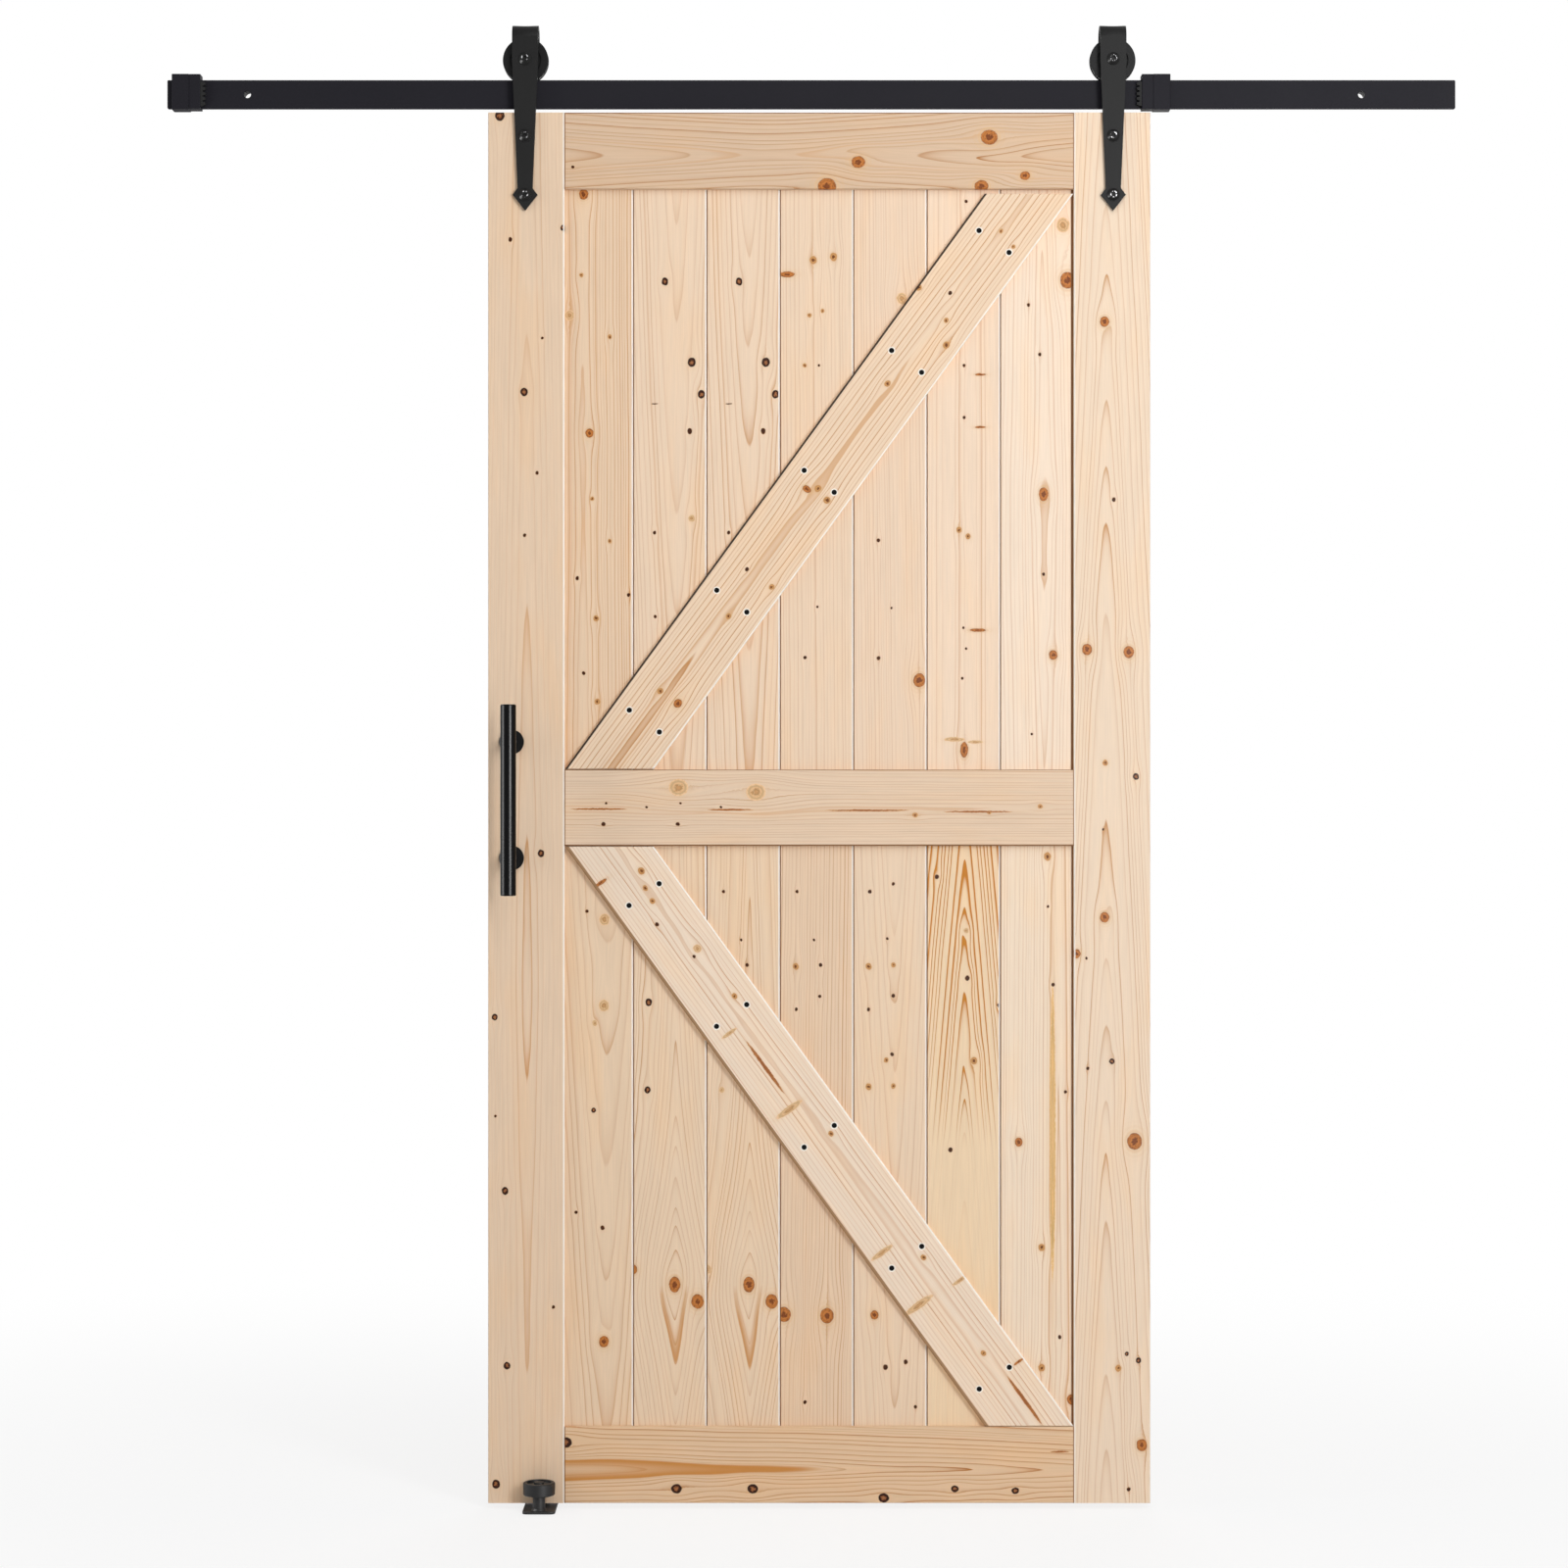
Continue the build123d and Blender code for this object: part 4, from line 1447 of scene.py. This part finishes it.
@dataclass
class Panel(Wood):
    """The seven boards above the middle rail and the seven below it."""

    first_seed = 61.0
    tongue = 6 * MM

    def build(self) -> None:
        """Dress the boards from left to right, the upper row first."""
        self.cover({
            "upper_board_1": Timber(
                pith_across=-22, pith_depth=24, taper=0.006, turn_at=-500, spacing=4.4, lines=2.0,
                shade_edges=(0, 0), late=srgb(218, 168, 108), heart=0.6, heart_reach=900,
                heart_width=2.2, tone=srgb(235, 207, 177),
                knots=(sound(146, 124, 7), sound(142, 248, 3), pale(124, 310, 7), sound(186, 343, 3.2),
                       sound(155, 491, 6), sound(159, 592, 2.8), sound(186, 657, 2.8),
                       pin(136, 714, 2.8), pin(215, 740, 2.8), sound(165, 776, 4), pin(146, 860, 2.8),
                       sound(167, 904, 4)),
            ),
            "upper_board_2": Timber(
                pith_across=8, pith_depth=36, taper=0.035, turn_at=480, spacing=5.5, lines=1.3,
                heart=0.35, heart_reach=700, heart_width=3, tone=srgb(239, 213, 186),
                knots=(ring(271, 258, 5), ring(312, 382, 6), ring(327, 431, 5.5),
                       spike(255, 446, 5, KnotKind.PIN), pin(309, 488, 4.2), pale(312, 622, 5),
                       pin(255, 644), pin(256, 773)),
            ),
            "upper_board_3": Timber(
                pith_across=6, pith_depth=38, taper=0.035, turn_at=480, spacing=5.5, lines=1.3,
                heart=0.35, heart_reach=640, heart_width=3, tone=srgb(239, 213, 186),
                knots=(ring(385, 258, 5), ring(426, 382, 6), ring(441, 431, 5.5),
                       spike(369, 446, 5, KnotKind.PIN), pin(422, 488, 4.2), pin(369, 644)),
            ),
            "upper_board_4": Timber(
                pith_across=-70, pith_depth=14, taper=0.008, spacing=5.5, lines=1.0,
                tone=srgb(239, 213, 186),
                knots=(Knot(459, 247, 11, KnotKind.SOUND, 0.4, 0.0), sound(499, 225, 5.5),
                       sound(530, 220, 5.5), sound(513, 303, 2.8), sound(493, 310, 3),
                       sound(486, 387, 3), pin(508, 387, 2), pin(486, 836, 2.6), pin(505, 758, 2)),
            ),
            "upper_board_5": Timber(
                pith_across=-90, pith_depth=12, taper=0.012, spacing=4.6, lines=0.95,
                tone=srgb(239, 213, 187),
                knots=(pale(635, 284, 8), pin(599, 656, 3), pin(619, 760, 2), pin(599, 837, 3),
                       sound(662, 871, 9)),
            ),
            "upper_board_6": Timber(
                pith_across=8, pith_depth=13, taper=0.003, turn_at=-300, spacing=10, lines=0.8,
                heart=0.6, heart_reach=1900, heart_width=2.4, tone=srgb(243, 218, 193),
                knots=(pin(734, 135), pin(731, 387), pin(731, 467), spike(756, 401, 8, KnotKind.SOUND),
                       spike(756, 482, 8, KnotKind.SOUND), sound(723, 640, 4), sound(737, 650, 4),
                       spike(752, 794, 12, KnotKind.SOUND), pin(730, 790, 2), pin(734, 822, 2),
                       pin(728, 868, 2), sound(731, 978, 6, 2.0), spike(716, 962, 16),
                       spike(748, 966, 12)),
            ),
            "upper_board_7": Timber(
                pith_across=6, pith_depth=20, taper=0.018, turn_at=-60, spacing=5.5, lines=1.1,
                heart=0.2, heart_reach=150, heart_width=3, highlight_edges=(0, 0), shade_edges=(1.8, 4.2),
                tone=srgb(246, 225, 203),
                knots=(pale(883, 171, 10), sound(890, 256, 11), pin(830, 294), pin(847, 370),
                       sound(853, 585, 7, 1.5), pin(853, 708), sound(868, 832, 6.5), pin(835, 954, 2)),
            ),
            "lower_board_1": Timber(
                pith_across=14, pith_depth=34, taper=0.06, turn_at=500, spacing=8, lines=1.1,
                shade_edges=(0, 0), tone=srgb(236, 209, 179),
                knots=(pin(151, 1226), pale(178, 1239, 8), pale(177, 1371, 8), pale(163, 1398, 4),
                       ring(161, 1532, 3.4), pin(134, 1689), pin(175, 1713, 3.5),
                       sound(177, 1888, 7.5)),
            ),
            "lower_board_2": Timber(
                pith_across=6, pith_depth=6, taper=0.01, turn_at=-229, spacing=6.5, lines=1.6, swell=70,
                heart=0.85, heart_reach=106, heart_width=10, heart_side=-1, heart_half=24,
                tone=srgb(237, 211, 182),
                knots=(ring(246, 1366), ring(244, 1501, 4.5), sound(221, 1777, 7),
                       sound(286, 1800, 8.5, 1.4), sound(321, 1826, 9.5)),
            ),
            "lower_board_3": Timber(
                pith_across=7, pith_depth=7, taper=0.01, turn_at=-229, spacing=6.5, lines=1.6, swell=70,
                heart=0.85, heart_reach=106, heart_width=10, heart_side=-1, heart_half=24,
                tone=srgb(237, 211, 182),
                knots=(pin(361, 1196), pin(388, 1270, 2), pin(397, 1309, 3), pale(358, 1501, 4),
                       pale(335, 1777, 7), sound(400, 1800, 8.5, 1.4), sound(435, 1826, 9.5)),
            ),
            "lower_board_4": Timber(
                pith_across=75, pith_depth=16, taper=0.015, spacing=5, lines=1.8,
                tone=srgb(234, 206, 177),
                knots=(pin(474, 1196), pin(500, 1270, 2), sound(472, 1311, 4.5), pin(510, 1309, 3),
                       pin(509, 1357), pin(473, 1377), sound(454, 1846, 10), sound(520, 1848, 10),
                       pin(486, 1981, 3)),
            ),
            "lower_board_5": Timber(
                pith_across=4, pith_depth=22, taper=0.05, turn_at=500, spacing=7, lines=0.8,
                tone=srgb(238, 212, 184),
                knots=(pin(586, 1196, 3), pin(622, 1184), pin(613, 1268, 2.2), sound(584, 1311, 4.5),
                       sound(622, 1309, 3.5), pin(622, 1356, 3), pin(584, 1377, 2.8), pin(620, 1446, 3),
                       sound(611, 1455, 3.5), sound(584, 1496, 4.5), sound(622, 1495, 3.5),
                       sound(593, 1847, 6), pin(610, 1927, 4), pin(641, 1919, 3.5), pin(656, 1988)),
            ),
            "lower_board_6": Timber(
                pith_across=-1, pith_depth=15, taper=0.085, turn_at=-420, spacing=6.5, lines=0.8,
                line_rise=3.0, late=srgb(210, 152, 58), tone=srgb(241, 214, 179),
                knots=(pin(689, 1173, 3.5), pale(734, 1256, 4), pin(736, 1329, 4), sound(746, 1456, 5),
                       pin(784, 1371, 3), pin(710, 1593, 3.5)),
            ),
            "lower_board_7": Timber(
                pith_across=28, pith_depth=14, taper=0.006, turn_at=-900, spacing=5, lines=1.2,
                heart=0.45, heart_reach=1150, heart_width=5, highlight_edges=(0, 0), shade_edges=(1.8, 3.4),
                tone=srgb(244, 223, 199),
                knots=(sound(859, 1142, 5.5), pin(860, 1219, 2), pin(868, 1339, 3), pin(887, 1504),
                       sound(815, 1581, 6), sound(850, 1743, 5), pin(878, 1881, 3), sound(850, 1928, 5),
                       sound(896, 1977, 7), streak(867, 1565, 225, 4.4)),
            ),
        })


@dataclass
class Braces(Wood):
    """The two diagonal braces and the screws that hold them to the panel."""

    finishes: Finishes
    first_seed = 211.0
    width = 110 * MM

    def build(self) -> None:
        """Dress the braces and set their screws."""
        leaning = (("upper_brace", Grain.RISING), ("lower_brace", Grain.FALLING))
        screws = {node: BraceScrews(node, grain) for node, grain in leaning}
        self.cover({
            "upper_brace": Timber(
                Grain.RISING, pith_across=2, pith_depth=14, taper=0.006, turn_at=-600, spacing=5.2,
                lines=2.1, highlight_edges=(0, 2.4), shade_edges=(3.4, 0), gap=DEEP_GAP_SHADE, heart=0.6,
                heart_reach=800, heart_width=2.4, tone=srgb(240, 214, 186),
                knots=(sound(787, 182, 3), sound(806, 206, 3), sound(661, 269, 4), pin(709, 277, 3),
                       sound(703, 319, 3.5), sound(703, 357), sound(613, 416, 4.5),
                       sound(489, 578, 7, 0.7), sound(506, 577), sound(520, 595), pin(397, 701, 3),
                       sound(435, 728, 4), sound(369, 773, 4), sound(264, 888, 4.5),
                       sound(291, 907, 6)),
            ),
            "lower_brace": Timber(
                Grain.FALLING, pith_across=8, pith_depth=16, taper=0.004, turn_at=-600, spacing=5,
                lines=1.7, highlight_edges=(0, 2.4), shade_edges=(5.0, 0), gap=SOFT_GAP_SHADE, heart=0.3,
                heart_reach=900, heart_width=2, tone=srgb(244, 223, 201),
                knots=(spike(172, 1183, 12, KnotKind.SOUND), sound(235, 1164), sound(241, 1190, 4),
                       sound(252, 1210, 4), pin(259, 1246, 3), pale(321, 1283), pin(316, 1295),
                       sound(378, 1356, 4), spike(370, 1413, 14), slit(425, 1465, 48, 2.8),
                       spike(462, 1530, 24), sound(526, 1567, 4), spike(604, 1750, 20),
                       sound(668, 1757, 4), spike(724, 1792, 14), spike(661, 1830, 26),
                       sound(760, 1904, 4), spike(814, 1917, 9, KnotKind.SOUND),
                       slit(823, 1976, 44, 2.8)),
            ),
        }, screws)
        for rows in screws.values():
            rows.build(self.finishes.screw)


@dataclass
class Hangers:
    """The two strap hangers with their wheels and bolts."""

    finishes: Finishes
    strap_edge: float = 0.6 * MM
    lone_pitch: float = 1.0
    sides: tuple[str, ...] = ("left", "right")

    def build(self) -> None:
        """Dress the straps, wheels and bolts."""
        for side in self.sides:
            dress(side + "_hanger_strap", self.finishes.strap)
            soften(side + "_hanger_strap", self.strap_edge)
            dress(side + "_wheel", self.finishes.wheel)
            self.bolts(side + "_axle_bolt", 1)
            self.bolts(side + "_hanger_bolts", 2)

    def bolts(self, node: str, count: int) -> None:
        """Dress one node of bolts, which stand in a row one above another.

        Args:
            node: The node's name.
            count: How many bolts it holds.
        """
        low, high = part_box(node)
        width = high.x - low.x
        axis = Vector(((low.x + high.x) / 2, low.y, low.z + width / 2))
        pitch = (high.z - low.z - width) / (count - 1) if count > 1 else self.lone_pitch
        # where the painted glints on the socket rims lie
        glint_wear = {"Axis": tuple(axis), "Pitch": pitch}
        dress(node, self.finishes.bolt_coat.material(node.replace("_", " ") + " coat", glint_wear))


@dataclass
class Track:
    """The flat track, its wall spacers, and the two stops with their bumpers."""

    finishes: Finishes
    edge: float = 0.5 * MM
    screw_radius: float = 3.0 * MM
    screw_proud: float = 0.6 * MM
    screw_share: float = 0.2
    sides: tuple[str, ...] = ("left", "right")

    def build(self) -> None:
        """Dress the track and its fittings, and add the set screws of the stops."""
        dress("track", self.finishes.track)
        soften("track", self.edge)
        for side in self.sides:
            dress(side + "_spacer", self.finishes.track)
            dress(side + "_stop", self.finishes.track)
            soften(side + "_stop", self.edge)
            dress(side + "_bumper", self.finishes.rubber)
            self.set_screws(side)

    def set_screws(self, side: str) -> None:
        """Put two set screws in the back of a stop.

        Args:
            side: Which stop, left or right.
        """
        low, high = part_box(side + "_stop")
        heads = ScrewHead(side + "_stop_set_screws")
        middle = (low.x + high.x) / 2
        reach = self.screw_share * (high.z - low.z)
        for lift in (-reach, reach):
            seat = Vector((middle, high.y + self.screw_proud / 2, (low.z + high.z) / 2 + lift))
            skirt = (self.screw_radius, self.screw_proud)
            heads.add(seat, 1, self.screw_radius, skirt, self.screw_proud / 2)
        heads.finish("track_and_guide", self.finishes.bolt)


@dataclass
class PullHandle:
    """The round pull bar, its two posts and the screws behind the door."""

    finishes: Finishes
    screw_radius: float = 6.0 * MM
    screw_edge: float = 1.8 * MM
    screw_dome: float = 1.2 * MM

    def build(self) -> None:
        """Dress the bar and posts, and add the heads of their screws on the back of the door."""
        dress("handle_bar", self.finishes.bar)
        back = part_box("left_stile")[1].y
        heads = ScrewHead("handle_screws")
        for post in ("handle_upper_post", "handle_lower_post"):
            dress(post, self.finishes.post)
            low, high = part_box(post)
            seat = Vector(((low.x + high.x) / 2, back + self.screw_edge, (low.z + high.z) / 2))
            heads.add(seat, 1, self.screw_radius, (self.screw_radius, self.screw_edge), self.screw_dome)
        heads.finish("door", self.finishes.bolt)


@dataclass
class FloorGuide:
    """The plate on the floor with its posts and rollers."""

    finishes: Finishes
    edge: float = 0.4 * MM

    def build(self) -> None:
        """Dress the plate, posts and rollers."""
        dress("guide_plate", self.finishes.guide)
        soften("guide_plate", self.edge)
        for side in ("front", "rear"):
            dress(f"guide_{side}_post", self.finishes.guide)
            dress(f"guide_{side}_roller", self.finishes.roller)


@dataclass(frozen=True)
class Lamp:
    """A soft lamp: where it hangs from what it faces, its width and height, and its watts."""

    name: str
    offset: Place
    size: Point
    power: float
    gloss_only: bool = False

    def hang(self, target: Vector) -> None:
        """Hang the lamp so that it faces a place.

        Args:
            target: The place.
        """
        data = bpy.data.lights.new(self.name, "AREA")
        data.shape = "RECTANGLE"
        data.size, data.size_y = self.size
        data.energy = self.power
        piece = new_object(self.name, data)
        offset = Vector(self.offset)
        piece.location = target + offset
        piece.rotation_euler = (-offset).to_track_quat("-Z", "Y").to_euler()
        piece.visible_diffuse = not self.gloss_only


@dataclass
class Studio:
    """A pale floor, soft light and the camera."""

    camera_place: Place = (0.825, -5.2475, -1.060)
    lens: float = 77.8
    sensor: float = 36.0
    fill: float = 0.31
    floor_size: Point = (7.0, 6.0)
    floor_colour: Colour = srgb(240, 240, 240)
    floor_roughness: float = 0.9
    speck_scale: float = 40.0
    speck: float = 0.02
    fade_span: Point = (0.15, 0.9)
    fade_share: Point = (0.8, 1.0)
    door_lamps: tuple[Lamp, ...] = (
        Lamp("key light", (2.0, -3.6, 1.15), (0.8, 2.2), 76.0),
        Lamp("edge light", (-2.4, -0.9, 0.5), (0.4, 2.2), 9.0),
        Lamp("top light", (0.7, -2.0, 2.4), (2.0, 2.0), 23.0),
        Lamp("back light", (0.5, 3.2, 0.7), (2.0, 2.0), 45.0),
    )
    handle_lamps: tuple[Lamp, ...] = (
        Lamp("right strip", (2.4, -3.3, 0.0), (1.6, 0.9), 260.0, gloss_only=True),
        Lamp("left strip", (-1.85, -0.4, 0.0), (0.9, 0.9), 56.0, gloss_only=True),
    )

    def build(self) -> None:
        """Make the floor, the light and the camera."""
        low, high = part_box("left_stile")
        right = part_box("right_stile")[1]
        middle = Vector(((low.x + right.x) / 2, low.y, (low.z + high.z) / 2))
        self.floor(middle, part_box("guide_plate")[0].z)
        self.sky()
        for lamp in self.door_lamps:
            lamp.hang(middle)
        for lamp in self.handle_lamps:
            lamp.hang(sum(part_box("handle_bar"), Vector()) / 2)
        self.camera()
        bpy.context.scene.view_settings.view_transform = "Standard"

    def background_ray(self, graph: Graph) -> Value:
        """Tell the rays that show the plain background: those of the camera, mirrors and clear things.

        Args:
            graph: The tree that asks.

        Returns:
            1 for such a ray, 0 for others.
        """
        path = graph.node("ShaderNodeLightPath").outputs
        kinds = ("Camera", "Glossy", "Transmission")
        camera, mirror, clear = (Value(graph, path[f"Is {kind} Ray"]) for kind in kinds)
        return graph.math("MAXIMUM", graph.math("MAXIMUM", camera, mirror), clear)

    def sky(self) -> None:
        """White where it is seen, and a soft even fill as light."""
        world = bpy.data.worlds.new("studio")
        bpy.context.scene.world = world
        world.use_nodes = True
        graph = Graph(world.node_tree)
        shade = world.node_tree.nodes["Background"].inputs
        graph.feed(shade["Color"], (1.0, 1.0, 1.0, 1.0))
        graph.feed(shade["Strength"], self.background_ray(graph) * (1.0 - self.fill) + self.fill)

    def floor(self, middle: Vector, height: float) -> None:
        """Lay a pale floor that fades into the white background.

        Args:
            middle: The middle of the door.
            height: The height of the floor.
        """
        half_x, half_y = self.floor_size[0] / 2, self.floor_size[1] / 2
        data = bpy.data.meshes.new("floor")
        corners = [(middle.x + sx * half_x, middle.y + sy * half_y, height)
                   for sx, sy in ((-1, -1), (1, -1), (1, 1), (-1, 1))]
        data.from_pydata(corners, [], [(0, 1, 2, 3)])
        new_object("floor", data)
        material, graph, shader = new_material("pale floor")
        data.materials.append(material)
        place = graph.place()
        speck = graph.noise(place, 3.0, scale=self.speck_scale).swing(self.speck)
        graph.feed(shader.inputs["Base Color"], graph.scale(self.floor_colour[:3], speck + 1.0))
        graph.feed(shader.inputs["Roughness"], self.floor_roughness)
        graph.feed(shader.inputs["Specular IOR Level"], 0.0)
        away = graph.vector("SUBTRACT", place, (middle.x, middle.y, height))
        away = graph.vector("MULTIPLY", away, (1 / half_x, 1 / half_y, 1.0))
        lift = graph.vector("LENGTH", away, out="Value").ease(*self.fade_span, *self.fade_share)
        plain = Value(graph, shader.outputs[0])
        glow = Value(graph, graph.node("ShaderNodeEmission").outputs[0])
        blend = graph.call("ShaderNodeMixShader", (lift * self.background_ray(graph), plain, glow))
        graph.feed(material.node_tree.nodes["Material Output"].inputs["Surface"], blend)

    def camera(self) -> None:
        """Set up the camera straight in front of the door."""
        data = bpy.data.cameras.new("camera")
        data.lens = self.lens
        data.sensor_width = self.sensor
        piece = new_object("camera", data)
        piece.location = self.camera_place
        piece.rotation_euler = (math.pi / 2, 0.0, 0.0)
        bpy.context.scene.camera = piece


def main() -> None:
    """Build the sub-assemblies in order, then the studio."""
    logging.basicConfig(level=logging.INFO, format="%(name)s: %(message)s")
    finishes = Finishes()
    DoorFrame().build()
    Panel().build()
    Braces(finishes).build()
    Hangers(finishes).build()
    Track(finishes).build()
    PullHandle(finishes).build()
    FloorGuide(finishes).build()
    Studio().build()


if __name__ == "__main__":
    main()
